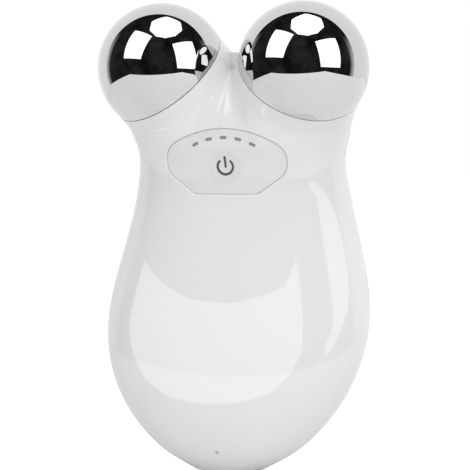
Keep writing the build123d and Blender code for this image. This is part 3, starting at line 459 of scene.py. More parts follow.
def linear(code):
    """A colour code like #E2E2E4 as linear red, green, blue and alpha, by the sRGB power curve."""
    parts = np.array([int(code[i:i + 2], 16) for i in (1, 3, 5)]) / 255
    return (*np.where(parts <= 0.04045, parts / 12.92, ((parts + 0.055) / 1.055) ** 2.4), 1.0)


def feed(tree, node, inputs):
    """Sets a node's inputs to values, or links them to sockets or to the first outputs of nodes."""
    for name, value in inputs.items():
        if isinstance(value, bpy.types.Node):
            value = value.outputs[0]
        if isinstance(value, bpy.types.NodeSocket):
            tree.links.new(value, node.inputs[name])
        else:
            node.inputs[name].default_value = value


def add_node(tree, kind, inputs=None, **settings):
    """Adds a node with its settings, which are properties, and feeds its inputs."""
    made = tree.nodes.new("ShaderNode" + kind)
    for name, value in settings.items():
        setattr(made, name, value)
    feed(tree, made, inputs or {})
    return made


def new_material(name):
    """A material and its node tree."""
    material = bpy.data.materials.new(name)
    material.use_nodes = True
    return material, material.node_tree


def moulded(name, colours, grain, roughness, bump, detail=3.0, **sockets):
    """A surface whose colour, roughness and height wander together with noise of one grain size.

    colours are two codes, grain and bump are in mm, roughness is a (low, high) pair, and the rest
    are constant settings of the shader.
    """
    material, tree = new_material(name)
    place = add_node(tree, "TexCoord").outputs["Object"]
    noise = add_node(tree, "TexNoise", {"Vector": place, "Scale": 1 / (grain * MM), "Detail": detail})
    tint = add_node(tree, "Mix", {0: noise, 6: linear(colours[0]), 7: linear(colours[1])},
                    data_type="RGBA")
    gloss = add_node(tree, "MapRange", {"Value": noise, "To Min": roughness[0], "To Max": roughness[1]})
    height = add_node(tree, "Bump", {"Height": noise, "Distance": bump * MM, "Strength": 1.0})
    feed(tree, tree.nodes["Principled BSDF"], {"Base Color": tint.outputs[2], "Roughness": gloss,
                                               "Normal": height, **sockets})
    return material


# Gloss ABS from a polished tool: a sharp, slightly wavy reflection over an even body colour.
gloss_abs = moulded("gloss_moulded_abs", ("#DFDFDF", "#E1E1E1"), grain=14.0, roughness=(0.05, 0.075),
                    bump=0.012, detail=1.0, IOR=1.54)

front_low = low_sheet(0.0)
front_low_inside = low_sheet(-WALL)
hip_share = np.linspace(0, SIDE_SHARE, COLUMNS)
crest_share = np.linspace(SIDE_SHARE, 1, COLUMNS)
hip_line = on_panel(outline(hip_share, POCKET_EDGE))
crest_line = on_panel(outline(crest_share, POCKET_EDGE))
waist_line = front_low[-1]
side_line = over_skin(hip_line[-1], waist_line[-1], HIGH_ROWS)
outer_rise = parting_rise(waist_line[-1], COLUMNS - SEAM_COLUMNS - SADDLE_COLUMNS + 2)
front_seam = seam_arc(0, -np.pi, SEAM_COLUMNS)
inner_rise = saddle_rise(SADDLE_COLUMNS)
front_border = np.concatenate([outer_rise, front_seam[1:], inner_rise[1:]])
below_panel = skin_sheet(hip_line, waist_line, over_skin(hip_line[0], waist_line[0], HIGH_ROWS),
                         side_line)
above_panel = skin_sheet(crest_line, front_border, side_line,
                         over_skin(crest_line[-1], inner_rise[-1], HIGH_ROWS))


def offset_inside(grid):
    """A grid moved inward by the wall's thickness, along the skin's normals."""
    return grid - WALL * skin_normal(grid)


def flat_floor(ring, chord, rows=12):
    """A level sheet ruled between the base's rim and the straight parting across it."""
    v = np.linspace(0, 1, rows)[:, None, None]
    return (1 - v) * ring[None] + v * chord[None]


def parting_land(edge, parting, inner, ahead):
    """The land where the shells meet: a broken edge on the skin, then straight in to the inner wall.

    The drawn-back edge, the true parting line and the inner wall's edge start at the base. Each
    gets the base's straight chord before it, from the middle plane; ahead is the side it breaks to.
    Returns the two chords and the land.
    """
    chord, chord_inside = [np.linspace((0, *line[0][1:]), line[0], COLUMNS) for line in (edge, inner)]
    broken = parting - EDGE_BREAK * skin_normal(parting)
    return chord, chord_inside, np.stack([
        np.concatenate([chord[:-1], edge]),
        np.concatenate([chord[:-1] + [0, ahead * EDGE_BREAK, EDGE_BREAK], broken]),
        np.concatenate([chord_inside[:-1], inner]),
    ])


below_inside = offset_inside(below_panel)
above_inside = offset_inside(above_panel)
below_inside[-1] = front_low_inside[-1]
above_inside[-1, 0] = front_low_inside[-1, -1]
above_inside[:, 0] = below_inside[:, -1]

parting = np.concatenate([front_low[:, -1], front_border[1:]])
front_low[:, -1] = retreat(front_low[:, -1], front_low[:, -2])
above_panel[-1] = retreat(above_panel[-1], above_panel[-2])
above_panel[-1, 0] = front_low[-1, -1]
below_panel[-1] = front_low[-1]
above_panel[:, 0] = below_panel[:, -1]
chord, chord_inside, front_land = parting_land(
    np.concatenate([front_low[:, -1], above_panel[-1, 1:]]), parting,
    np.concatenate([front_low_inside[:, -1], above_inside[-1, 1:]]), 1)

# the pocket for the plate: rolled edge, wall, ledge, and back to the inner wall
pocket_share = np.concatenate([hip_share, crest_share[1:]])
pocket_rows = [on_panel(outline(pocket_share, POCKET_EDGE * (1 - np.sin(a))), POCKET_EDGE * (1 - np.cos(a)))
               for a in np.radians([0, 22, 45, 68, 90])]
pocket_rows[0] = np.concatenate([below_panel[0], above_panel[0, 1:]])
for grow, depth in ((0, POCKET_DEPTH), (-LEDGE_WIDTH, POCKET_DEPTH), (-LEDGE_WIDTH, LEDGE_BACK)):
    pocket_rows.append(on_panel(outline(pocket_share, grow), depth))
pocket_rows.append(np.concatenate([below_inside[0], above_inside[0, 1:]]))

front_grids = [front_low, below_panel, above_panel, front_low_inside, below_inside, above_inside,
               flat_floor(front_low[0], chord), flat_floor(front_low_inside[0], chord_inside),
               front_land, np.stack(pocket_rows)]
front_shell = mesh_object("front_shell_moulding", front_grids + [mirror(g) for g in front_grids], gloss_abs)


def cut(piece, *cutters):
    """Takes closed cutting shapes out of a piece and keeps the result as its mesh."""
    for cutter in cutters:
        change = piece.modifiers.new("cut", "BOOLEAN")
        change.operation = "DIFFERENCE"
        change.solver = "EXACT"
        change.object = cutter
        solved = piece.evaluated_get(bpy.context.evaluated_depsgraph_get())
        result = bpy.data.meshes.new_from_object(solved)
        piece.modifiers.clear()
        result.name = piece.name
        piece.data = result
        bpy.data.objects.remove(cutter)
    piece.data.shade_smooth()
    piece.data.set_sharp_from_angle(angle=SHARP_ANGLE)


def prism(name, ring, start, way, length):
    """A closed prism: a flat ring of (right, up) points about start, carried along way."""
    way = np.array(way, float)
    side = np.cross(way, [0, 0, 1.0])
    side /= np.linalg.norm(side)
    flat = np.array(start) + ring[:, :1] * side + ring[:, 1:] * np.cross(side, way)
    centre = flat.mean(0) + 0 * flat
    rows = np.stack([centre, flat, flat + length * way, centre + length * way])
    return mesh_object(name, [rows], gloss_abs)


def round_ring(radius, count=48):
    """A closed circle of (right, up) points."""
    a = np.linspace(0, 2 * np.pi, count + 1)
    return radius * np.stack([np.cos(a), np.sin(a)], -1)


PINHOLE_Z = 5.8
PINHOLE_RADIUS = 0.48
PIPE_TILT = np.radians(25.0)
pinhole = cast(spine(PINHOLE_Z), fan(np.zeros(())))
pipe_way = np.array([0, np.cos(PIPE_TILT), np.sin(PIPE_TILT)])
cut(front_shell,
    prism("pinhole_cutter", round_ring(PINHOLE_RADIUS), pinhole - 2 * pipe_way, pipe_way, 6.0))
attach(front_shell, "housing")
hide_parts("front_shell")

# ---- rear shell
# The matching rear half, moulded in the same ABS. It carries the screw bosses, the opening of
# the charging inlet low on its back and four round holes over the screw heads.
SHELL_SCREWS = [(20.0, 26.0), (19.5, 61.0)]
HEAD_HOLE_RADIUS = 2.08
INLET_Z = 14.5
INLET_WIDTH = 8.9
INLET_HEIGHT = 3.2
INLET_HOLE_GAP = 0.15
REAR_HIGH_ROWS = 48
BACKWARD = np.array([0, 1.0, 0])

rear_low = low_sheet(0.0, rear=True)
rear_low_inside = low_sheet(-WALL, rear=True)
rear_rise = parting_rise(rear_low[-1, 0], REAR_HIGH_ROWS)
rear_top = np.concatenate([seam_arc(0, np.pi, COLUMNS - SADDLE_COLUMNS + 1), inner_rise[1:]])
rear_high = skin_sheet(rear_low[-1], rear_top, rear_rise,
                       over_skin(rear_low[-1, -1], rear_top[-1], REAR_HIGH_ROWS))
rear_inside = offset_inside(rear_high)
rear_inside[0] = rear_low_inside[-1]


def rear_parting(low, high):
    """The rear shell's parting edge, from the base up the handle's side and round the arm."""
    return np.concatenate([low[:-1, 0], high[:, 0], high[-1, 1:]])


parting = rear_parting(rear_low, rear_high)
rear_low[:, 0] = retreat(rear_low[:, 0], rear_low[:, 1])
rear_high[:, 0] = retreat(rear_high[:, 0], rear_high[:, 1])
rear_high[-1] = retreat(rear_high[-1], rear_high[-2])
rear_high[0] = rear_low[-1]
chord, chord_inside, rear_land = parting_land(
    rear_parting(rear_low, rear_high), parting, rear_parting(rear_low_inside, rear_inside), -1)
rear_grids = [rear_low, rear_high, rear_low_inside, rear_inside,
              flat_floor(rear_low[0], chord[::-1]), flat_floor(rear_low_inside[0], chord_inside[::-1]),
              rear_land]
rear_shell = mesh_object("rear_shell_moulding", rear_grids + [mirror(g) for g in rear_grids], gloss_abs)


def slot_ring(width, height):
    """A slot's outline: two half circles of the height, set apart to the width."""
    ring = round_ring(height / 2, 40)
    ring[:, 0] += np.sign(np.round(ring[:, 0], 9)) * (width - height) / 2
    return ring


inlet_ring = slot_ring(INLET_WIDTH + 2 * INLET_HOLE_GAP, INLET_HEIGHT + 2 * INLET_HOLE_GAP)
cutters = [prism("inlet_cutter", inlet_ring, (0, 10.0, INLET_Z), BACKWARD, 12.0)]
for x, z in SHELL_SCREWS:
    for side in (-1, 1):
        skin_y = float(cast(np.array([side * x, parting_y(z), z]), BACKWARD)[1])
        cutters.append(prism("head_hole_cutter", round_ring(HEAD_HOLE_RADIUS), (side * x, skin_y - 3, z),
                             BACKWARD, 6.0))
cut(rear_shell, *cutters)
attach(rear_shell, "housing")
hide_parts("rear_shell")

# ---- base foot
# An oval pad of moulded silicone rubber, glued into a recess under both shells; the device
# rests on it. Its rim is rounded and its face has a fine matt texture.
FOOT_HALF_X = 5.4
FOOT_HALF_Y = 6.4
FOOT_THICKNESS = 1.3
FOOT_ROUND = 0.35

# Silicone rubber from an etched tool: near black, with a fine grain and a broad, dull sheen.
matt_rubber = moulded("matt_silicone_rubber", ("#161617", "#1E1E1F"), grain=0.35, roughness=(0.62, 0.8),
                      bump=0.02, IOR=1.43)


def turned(profile, count=96, stretch=(1.0, 1.0)):
    """A profile of (radius, height) points carried round Z, stretched to an oval."""
    a = np.linspace(0, 2 * np.pi, count + 1)[None]
    radius, height = np.array(profile, float).T
    return np.stack([radius[:, None] * np.cos(a) * stretch[0], radius[:, None] * np.sin(a) * stretch[1],
                     height[:, None] + 0 * a], -1)


def rounded(radius, height, size, start, steps=6):
    """A quarter-round of a size about a profile's point, from one angle through 90 degrees."""
    a = np.radians(np.linspace(start, start + 90, steps))
    return np.stack([radius + size * np.cos(a), height + size * np.sin(a)], -1)


# the foot's profile has a radius of 1, which the stretch turns into the oval's half widths
foot_scale = np.array([FOOT_ROUND / FOOT_HALF_X, FOOT_ROUND])
foot_profile = np.concatenate([
    [(0, 0), (0.5, 0), (0.8, 0)],
    rounded(0, 0, 1, -90) * foot_scale + [1 - FOOT_ROUND / FOOT_HALF_X, FOOT_ROUND],
    [(1, FOOT_THICKNESS), (0, FOOT_THICKNESS)],
])
foot_grid = turned(foot_profile, stretch=(FOOT_HALF_X, FOOT_HALF_Y))
base_foot = mesh_object("base_foot_pad", [foot_grid], matt_rubber)
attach(base_foot, "housing")
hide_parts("base_foot")

# ---- control panel and gasket
# A thin ABS plate, moulded to the neck's curve and set a third of a millimetre below the skin on
# a foam gasket. It has a round hole for the button and five slots for the level lights.
PANEL_STEP = 0.35
PANEL_THICKNESS = 1.0
PANEL_GAP = 0.05
PLATE_EDGE = 0.06
HOLE_EDGE = 0.015
BUTTON_RADIUS = 3.8
BUTTON_GAP = 0.015
LIGHT_COUNT = 5
LIGHT_ARC_RADIUS = 15.3
LIGHT_ARC_TOP = 7.05
LIGHT_STEP = np.radians(13.4)
LIGHT_LENGTH = 1.7
LIGHT_WIDTH = 0.75
PLATE_ROWS = 30

# The plate is moulded apart from the shells: its white is a shade deeper, its gloss softer.
satin_abs = moulded("satin_moulded_abs", ("#DADADA", "#DCDCDC"), grain=9.0, roughness=(0.16, 0.2),
                    bump=0.006, detail=1.0, IOR=1.54)
# Die-cut foam sheet: black and dead matt, with open pores along its cut edge.
closed_cell_foam = moulded("closed_cell_foam", ("#17181A", "#26272A"), grain=0.25, roughness=(0.85, 0.95),
                           bump=0.06)

plate_share = np.linspace(0, 1, 2 * COLUMNS)
rim = outline(plate_share, -PANEL_GAP)
outward = rim / np.linalg.norm(rim, axis=1)[:, None]
hole = BUTTON_RADIUS + BUTTON_GAP
quarter = np.radians([0, 30, 60, 90])
plate_rows = [(outward * hole, PANEL_THICKNESS)]
plate_rows += [(outward * (hole + HOLE_EDGE * (1 - np.cos(a))), HOLE_EDGE * (1 - np.sin(a)))
               for a in quarter]
for share in np.linspace(0, 1, PLATE_ROWS)[1:-1]:
    inner_edge = outward * (hole + HOLE_EDGE)
    outer_edge = outline(plate_share, -PANEL_GAP - PLATE_EDGE)
    plate_rows.append((inner_edge + (outer_edge - inner_edge) * share, 0.0))
plate_rows += [(outline(plate_share, -PANEL_GAP - PLATE_EDGE * (1 - np.sin(a))),
                PLATE_EDGE * (1 - np.cos(a))) for a in quarter]
plate_rows += [(rim, PANEL_THICKNESS), (outward * hole, PANEL_THICKNESS)]
plate_grid = np.stack([on_panel(flat, PANEL_STEP + depth) for flat, depth in plate_rows])
control_panel = mesh_object("control_panel_plate", [plate_grid, mirror(plate_grid)], satin_abs)


def light_places():
    """Yields the right and up place and the turn of each level light on its arc."""
    for i in range(LIGHT_COUNT):
        a = (i - (LIGHT_COUNT - 1) / 2) * LIGHT_STEP
        yield LIGHT_ARC_RADIUS * np.sin(a), LIGHT_ARC_TOP - LIGHT_ARC_RADIUS * (1 - np.cos(a)), -a


def at_light(ring, place):
    """A ring of (right, up) points turned and moved to one light's place."""
    right, up, turn = place
    spin = np.array([[np.cos(turn), -np.sin(turn)], [np.sin(turn), np.cos(turn)]])
    return ring @ spin.T + [right, up]


slot_cutters = []
for place in light_places():
    ring = at_light(slot_ring(LIGHT_LENGTH, LIGHT_WIDTH), place)
    middle = ring[:-1].mean(0) + 0 * ring
    slab = np.stack([on_panel(flat, depth) for flat, depth in
                     ((middle, -1.0), (ring, -1.0), (ring, 3.0), (middle, 3.0))])
    slot_cutters.append(mesh_object("slot_cutter", [slab], satin_abs))
cut(control_panel, *slot_cutters)
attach(control_panel, "housing")
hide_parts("control_panel")


def dress(node, material):
    """Gives a piece of the frame its material."""
    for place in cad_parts[node].material_slots:
        place.material = material


dress("panel_gasket", closed_cell_foam)

# ---- power button
# A round ABS key behind the plate's hole, flush at its rim and gently dished for a fingertip. A
# flange behind the plate stops it, and its pusher rests on the switch.
BUTTON_DISH = 0.5
BUTTON_BACK = 2.35
FLANGE_RADIUS = 4.8
FLANGE_FRONT = 1.75
PUSHER_RADIUS = 1.2
PUSHER_BACK = 3.58
KEY_EDGE = 0.015

# The key's tool is textured a little more than the plate's, so its reflections are more blurred.
# Its white is a few shades darker than the plate's: painted shade, standing for the soft shade in its
# finger dish.
key_abs_painted_shade = moulded("satin_key_abs", ("#D6D6D6", "#D8D8D8"), grain=3.0, roughness=(0.2, 0.26), bump=0.004,
                  IOR=1.52)


def dish(radius):
    """Depth of the key's hollow: a cosine, level in the middle and at the rim."""
    return BUTTON_DISH * (1 + np.cos(np.pi * np.minimum(radius / BUTTON_RADIUS, 1))) / 2


key_way = round_ring(1.0, 2 * COLUMNS)
face_radii = np.linspace(0, BUTTON_RADIUS - KEY_EDGE, 28)
key_rows = [(r, PANEL_STEP + dish(r)) for r in face_radii]
key_rows += [(BUTTON_RADIUS - KEY_EDGE * (1 - np.sin(a)), PANEL_STEP + KEY_EDGE * (1 - np.cos(a)))
             for a in quarter[1:]]
key_back = [(BUTTON_RADIUS, FLANGE_FRONT), (FLANGE_RADIUS, FLANGE_FRONT), (FLANGE_RADIUS, BUTTON_BACK),
            (PUSHER_RADIUS, BUTTON_BACK), (PUSHER_RADIUS, PUSHER_BACK), (0, PUSHER_BACK)]
key_grid = np.stack([on_panel(key_way * r, d) for r, d in key_rows]
                    + [on_plane(key_way * r, d) for r, d in key_back])
power_button = mesh_object("power_button_key", [key_grid], key_abs_painted_shade)
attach(power_button, "power_button")
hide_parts("power_button")

# ---- power symbol
# The plain power sign, a ring open at the top with a bar in the opening, pad-printed in grey ink:
# a thin even film with softened ends.
SYMBOL_RADIUS = 1.85
SYMBOL_STROKE = 0.58
SYMBOL_OPENING = np.radians(36.0)
SYMBOL_BAR = (-0.35, 2.6)
INK_RISE = 0.012
INK_DEPTH = 0.1

# Pad-printed ink: one even dark grey with a low gloss of its own.
printed_ink = moulded("pad_printed_ink", ("#4A4A4C", "#545456"), grain=0.4, roughness=(0.35, 0.5),
                      bump=0.002, IOR=1.5)


def ink_stroke(path, width):
    """A closed film over the dish: a flat band of even width along the path, with rounded ends."""
    along = np.gradient(path, axis=0)
    side = np.stack([-along[:, 1], along[:, 0]], -1) / np.linalg.norm(along, axis=1)[:, None]
    run = np.concatenate([[0], np.cumsum(np.linalg.norm(np.diff(path, axis=0), axis=1))])
    to_end = np.minimum(run, run[-1] - run) / (width / 2)
    reach = width / 2 * np.sqrt(np.clip(1 - np.maximum(1 - to_end, 0) ** 2, 0, 1))
    rows = []
    for offset, depth in ((-1, INK_DEPTH), (-1, -INK_RISE / 2), (-0.85, -INK_RISE), (-0.4, -INK_RISE),
                          (0, -INK_RISE), (0.4, -INK_RISE), (0.85, -INK_RISE), (1, -INK_RISE / 2),
                          (1, INK_DEPTH), (-1, INK_DEPTH)):
        flat = path + side * (reach * offset)[:, None]
        rows.append(on_panel(flat, PANEL_STEP + dish(np.linalg.norm(flat, axis=1)) + depth))
    return np.stack(rows)


ring_angles = np.linspace(np.pi / 2 + SYMBOL_OPENING, 5 * np.pi / 2 - SYMBOL_OPENING, 120)
ring_path = SYMBOL_RADIUS * np.stack([np.cos(ring_angles), np.sin(ring_angles)], -1)
bar_path = np.stack([np.zeros(60), np.linspace(*SYMBOL_BAR, 60)], -1)
strokes = [ink_stroke(path, SYMBOL_STROKE) for path in (ring_path, bar_path)]
power_symbol = mesh_object("power_symbol_print", strokes, printed_ink)
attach(power_symbol, "power_button")
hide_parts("power_symbol")

# ---- level lights
# Five short light pipes of smoked acrylic stand in the plate's slots, in front of white
# diodes on the board; a black frame between them keeps each light to its own window.
PIPE_BACK = 5.2
PIPE_GAP = 0.02
PIPE_EDGE = 0.06

# Smoked acrylic, unlit: mid grey with a smooth, slightly blurred face.
smoked_acrylic = moulded("smoked_acrylic", ("#848484", "#929292"), grain=0.8, roughness=(0.18, 0.26),
                         bump=0.003, IOR=1.49)
# Glass-filled nylon: black with a low, uneven sheen.
black_nylon = moulded("black_moulded_nylon", ("#121213", "#1B1B1C"), grain=0.6, roughness=(0.5, 0.62),
                      bump=0.01)
# Clear resin over phosphor: a pale yellow face with a soft shine.
diode_resin = moulded("phosphor_diode_resin", ("#E9E2B8", "#F1ECCB"), grain=0.2, roughness=(0.3, 0.4),
                      bump=0.004)

pipes = []
for place in light_places():
    middle = at_light(0 * slot_ring(LIGHT_LENGTH, LIGHT_WIDTH), place)
    rows = [on_panel(middle, PANEL_STEP)]
    for inset, depth in ((PIPE_GAP + PIPE_EDGE, 0), (PIPE_GAP + 0.3 * PIPE_EDGE, 0.3 * PIPE_EDGE),
                         (PIPE_GAP, PIPE_EDGE), (PIPE_GAP, PIPE_BACK - PANEL_STEP)):
        ring = slot_ring(LIGHT_LENGTH - 2 * inset, LIGHT_WIDTH - 2 * inset)
        rows.append(on_panel(at_light(ring, place), PANEL_STEP + depth))
    rows.append(on_panel(middle, PIPE_BACK))
    pipes.append(np.stack(rows))
level_lights = mesh_object("level_light_pipes_acrylic", pipes, smoked_acrylic)
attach(level_lights, "housing")
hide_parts("level_light_pipes")
dress("led_baffle", black_nylon)
dress("led_chips", diode_resin)

# ---- switch
# A surface-mount push switch: a black nylon body on the board with a grey acetal stem in it.
# Acetal: mid grey and slightly waxy.
grey_acetal = moulded("grey_acetal", ("#6B6D70", "#75777A"), grain=0.8, roughness=(0.4, 0.5), bump=0.004)
dress("tact_switch", black_nylon)
dress("switch_stem", grey_acetal)

# ---- main board
# A two-layer glass-epoxy board under green solder mask, screwed to the front shell's posts. It
# carries the controller, the boost coil, three capacitors, the buzzer and the connectors.
TRACK_SPACING = 1.3
TRACK_WIDTH = 0.12
WIRE_SPACING = 0.35
WIRE_RELIEF = 0.05


def board_material():
    """Green solder mask: the copper tracks under it show as paler straight bands."""
    material = moulded("green_solder_mask", ("#0E4A2A", "#125532"), grain=2.0, roughness=(0.28, 0.4),
                       bump=0.004)
    tree = material.node_tree
    place = add_node(tree, "TexCoord").outputs["Object"]
    tracks = add_node(tree, "TexBrick", {
        "Vector": place, "Color1": linear("#0E4A2A"), "Color2": linear("#125532"),
        "Mortar": linear("#2C7A4B"), "Scale": 1.0, "Mortar Size": TRACK_WIDTH * MM,
        "Brick Width": 5 * TRACK_SPACING * MM, "Row Height": TRACK_SPACING * MM,
    })
    feed(tree, tree.nodes["Principled BSDF"], {"Base Color": tracks})
    return material


def winding_material():
    """Enamelled copper wire wound side by side: fine bands across the coil's height."""
    material = moulded("enamelled_copper_winding", ("#5A2B14", "#8A4A22"), grain=0.5,
                       roughness=(0.25, 0.35), bump=0.01)
    tree = material.node_tree
    place = add_node(tree, "TexCoord").outputs["Object"]
    bands = add_node(tree, "TexWave", {"Vector": place, "Scale": 0.5 / (WIRE_SPACING * MM) / np.pi},
                     bands_direction="Y")
    turns = add_node(tree, "Bump", {"Height": bands, "Distance": WIRE_RELIEF * MM})
    feed(tree, tree.nodes["Principled BSDF"], {"Normal": turns})
    return material


solder_mask = board_material()
# Epoxy from a sandblasted tool: near black and matt.
epoxy_package = moulded("moulded_epoxy_package", ("#19191B", "#222224"), grain=0.3, roughness=(0.55, 0.7),
                        bump=0.006)
# Drawn aluminium: pale bare metal with a soft, even haze.
satin_aluminium = moulded("drawn_aluminium_can", ("#B9BABD", "#C6C7C9"), grain=0.5, roughness=(0.28, 0.4),
                          bump=0.004, Metallic=1.0)
# Unfilled nylon: off-white and slightly waxy.
white_nylon = moulded("white_moulded_nylon", ("#DAD8D0", "#E3E1D9"), grain=0.9, roughness=(0.4, 0.5),
                      bump=0.006)
# Zinc plate, blue passivated: bright cool grey metal, mottled at a fine grain.
zinc_steel = moulded("zinc_plated_steel", ("#A9ABB0", "#B9BBBF"), grain=0.25, roughness=(0.25, 0.38),
                     bump=0.004, Metallic=1.0)
dress("main_board", solder_mask)
dress("board_screws", zinc_steel)
dress("microcontroller", epoxy_package)
dress("boost_coil", winding_material())
dress("capacitors", satin_aluminium)
dress("buzzer", epoxy_package)
dress("connectors", white_nylon)

# ---- battery
# A lithium pouch cell in a grey ABS tray that two posts of the rear shell carry. Its two
# insulated leads run up to the board.
# Aluminium foil under a clear film: soft grey metal, gently crumpled.
pouch_foil = moulded("laminated_pouch_foil", ("#8D939B", "#A2A7AE"), grain=3.0, roughness=(0.3, 0.45),
                     bump=0.05, Metallic=0.6)
# ABS from a spark-eroded tool: an even, dull grey.
grey_abs = moulded("grey_moulded_abs", ("#707276", "#7B7D80"), grain=0.9, roughness=(0.45, 0.58), bump=0.01)
# Extruded PVC: coloured right through, smooth, with a soft gloss.
red_pvc = moulded("red_lead_insulation", ("#9C1418", "#AE1A1E"), grain=1.5, roughness=(0.3, 0.42),
                  bump=0.006)
black_pvc = moulded("black_lead_insulation", ("#131314", "#1D1D1E"), grain=1.5, roughness=(0.3, 0.42),
                    bump=0.006)
dress("battery_cell", pouch_foil)
dress("battery_tray", grey_abs)
dress("battery_leads", red_pvc)

# ---- charging inlet and lamp
# A drawn steel can with a black tongue stands on its own small board low in the back. At the
# front, a clear acrylic rod carries the charging lamp's light to a pinhole.
# Frosted acrylic: pale grey, because it scatters the little light that falls in.
frosted_acrylic = moulded("frosted_acrylic_rod", ("#ACACAE", "#B6B6B8"), grain=0.5, roughness=(0.3, 0.4),
                          bump=0.002, IOR=1.49)
dress("charge_socket", zinc_steel)
dress("charge_tongue", black_nylon)
dress("charge_board", solder_mask)
dress("charge_leads", black_pvc)
dress("charge_indicator", frosted_acrylic)
dress("charge_led", diode_resin)

# ---- sphere carriers
# Each arm holds a grey ABS plate behind its sphere; a steel screw through the plate pulls the
# sphere's post down on it, and a brass tag under the head takes the current from its lead.
# Rolled and stamped brass: yellow metal with a light haze.
stamped_brass = moulded("stamped_brass", ("#B08A45", "#C09A55"), grain=0.4, roughness=(0.25, 0.4),
                        bump=0.004, Metallic=1.0)
for side in ("left", "right"):
    dress(f"{side}_carrier", grey_abs)
dress("sphere_screws", zinc_steel)
dress("electrode_terminals", stamped_brass)
dress("left_electrode_lead", red_pvc)
dress("right_electrode_lead", black_pvc)

# ---- spheres and their seals
# Hollow caps, spun from brass, polished and plated with bright chrome. Each has a collar that
# enters the arm and a threaded post; a thin black seal fills the joint to the shells.
SEAL_THICKNESS = 0.15
SPHERE_WALL = 1.0
COLLAR_RADIUS = 13.2
COLLAR_WALL = 1.0
COLLAR_BACK = -5.5
POST_RADIUS = 3.0
POST_BORE = 1.0
POST_BORE_TOP = 7.0
RIM_EDGE = 0.12
ROOT = 0.3
WEB_ROOT = 0.2
SPHERE_COUNT = 256

# Bright chrome over polish: an almost perfect mirror, a little grey, with the faintest haze.
bright_chrome = moulded("bright_chrome_plate", ("#CBCBCB", "#D5D5D5"), grain=1.6, roughness=(0.012, 0.03),
                        bump=0.0003, Metallic=1.0)

rim_z = -SEAM_DROP + SEAL_THICKNESS
dome_angles = np.linspace(0, np.pi / 2, 90)
dome = np.stack([np.sin(dome_angles), np.cos(dome_angles)], -1)
inside_radius = BALL_RADIUS - SPHERE_WALL
skirt_share = np.linspace(0, 1, 7)[1:]
skirt_radius = BALL_RADIUS + (SEAM_RADIUS - BALL_RADIUS) * skirt_share**2
skirt = np.stack([skirt_radius, (rim_z + RIM_EDGE) * skirt_share], -1)
rim_corner = rounded(SEAM_RADIUS - RIM_EDGE, rim_z + RIM_EDGE, RIM_EDGE, -90)[::-1]
cap_profile = np.concatenate([
    BALL_RADIUS * dome, skirt, rim_corner[1:], [(inside_radius, rim_z)],
    inside_radius * dome[::-3], [(0, inside_radius)],
])


def tube_profile(inner, outer, low, high):
    """The closed section of a round wall, once round from its inner foot."""
    return [(inner, low), (outer, low), (outer, high), (inner, high), (inner, low)]


collar_inside = COLLAR_RADIUS - COLLAR_WALL
collar_profile = tube_profile(collar_inside, COLLAR_RADIUS, COLLAR_BACK, rim_z + ROOT)
web_profile = tube_profile(collar_inside, inside_radius + WEB_ROOT, rim_z, rim_z + SPHERE_WALL)
post_profile = [(POST_BORE, COLLAR_BACK), (POST_RADIUS, COLLAR_BACK), (POST_RADIUS, inside_radius + ROOT),
                (0, inside_radius + ROOT), (0, POST_BORE_TOP), (POST_BORE, POST_BORE_TOP),
                (POST_BORE, COLLAR_BACK)]


def on_arm(grid, side):
    """A shape about its own Z, moved to the sphere's centre with its Z along one arm's axis."""
    out = AXIS * [side, 1, 1]
    across = np.array([AXIS[2], 0, -side * AXIS[0]])
    across /= np.linalg.norm(across)
    return BALL_CENTRE * [side, 1, 1] + grid @ np.stack([across, np.cross(out, across), out])


spheres = []
for side, name in ((-1, "left"), (1, "right")):
    shapes = [on_arm(turned(cap_profile, SPHERE_COUNT), side)]
    shapes += [on_arm(turned(profile, 96), side) for profile in (collar_profile, web_profile, post_profile)]
    sphere = mesh_object(f"{name}_sphere_cap", shapes, bright_chrome)
    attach(sphere, "housing")
    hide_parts(f"{name}_sphere")
    spheres.append(sphere)
    dress(f"{name}_seat_ring", matt_rubber)

# ---- shell screws and their plugs
# Four self-tapping screws pull the shells together from behind. ABS plugs, moulded to the
# skin's slant, snap in over their heads.
PLUG_RADIUS = 2.0
PLUG_THICKNESS = 1.6
PLUG_SINK = 1.0
PLUG_EDGE = 0.12

dress("shell_screws", zinc_steel)
plug_way = round_ring(1.0, COLUMNS) @ np.array([[1, 0, 0], [0, 0, 1]])
plugs = []
for x, z in SHELL_SCREWS:
    for side in (-1, 1):
        axis_point = np.array([side * x, float(parting_y(z)) + 2.0, z])
        face_y = float(cast(np.array([x, parting_y(z), z]), BACKWARD)[1])
        rows = []
        for radius, sink in ((0, 0), (1.0, 0), (PLUG_RADIUS - PLUG_EDGE, 0),
                             (PLUG_RADIUS - 0.3 * PLUG_EDGE, 0.3 * PLUG_EDGE), (PLUG_RADIUS, PLUG_EDGE)):
            face = cast(axis_point + radius * plug_way, BACKWARD, reach=40.0)
            rows.append(face - [0, sink, 0])
        for radius in (PLUG_RADIUS, 0):
            flat = axis_point + radius * plug_way
            flat[:, 1] = face_y - PLUG_SINK - PLUG_THICKNESS
            rows.append(flat)
        plugs.append(np.stack(rows))
screw_plugs = mesh_object("screw_plugs_abs", plugs, gloss_abs)
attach(screw_plugs, "housing")
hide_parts("screw_caps")

# ---- table, room and lights
# A white table with white behind it and an unlit room on the viewer's side. Soft boxes stand
# overhead and at both sides of the viewer, and curved windows stand round the handle. Chrome and
# white moulding want different lights, so some light only the spheres and some only the shells.
TABLE_X = (-0.35, 0.48)
TABLE_Y = (-0.38, 3.0)
TABLE_LIFT = 0.2
TABLE_LIFT_IN_VIEW = 0.75
AMBIENT = 0.7
WHITE = linear("#FFFFFF")


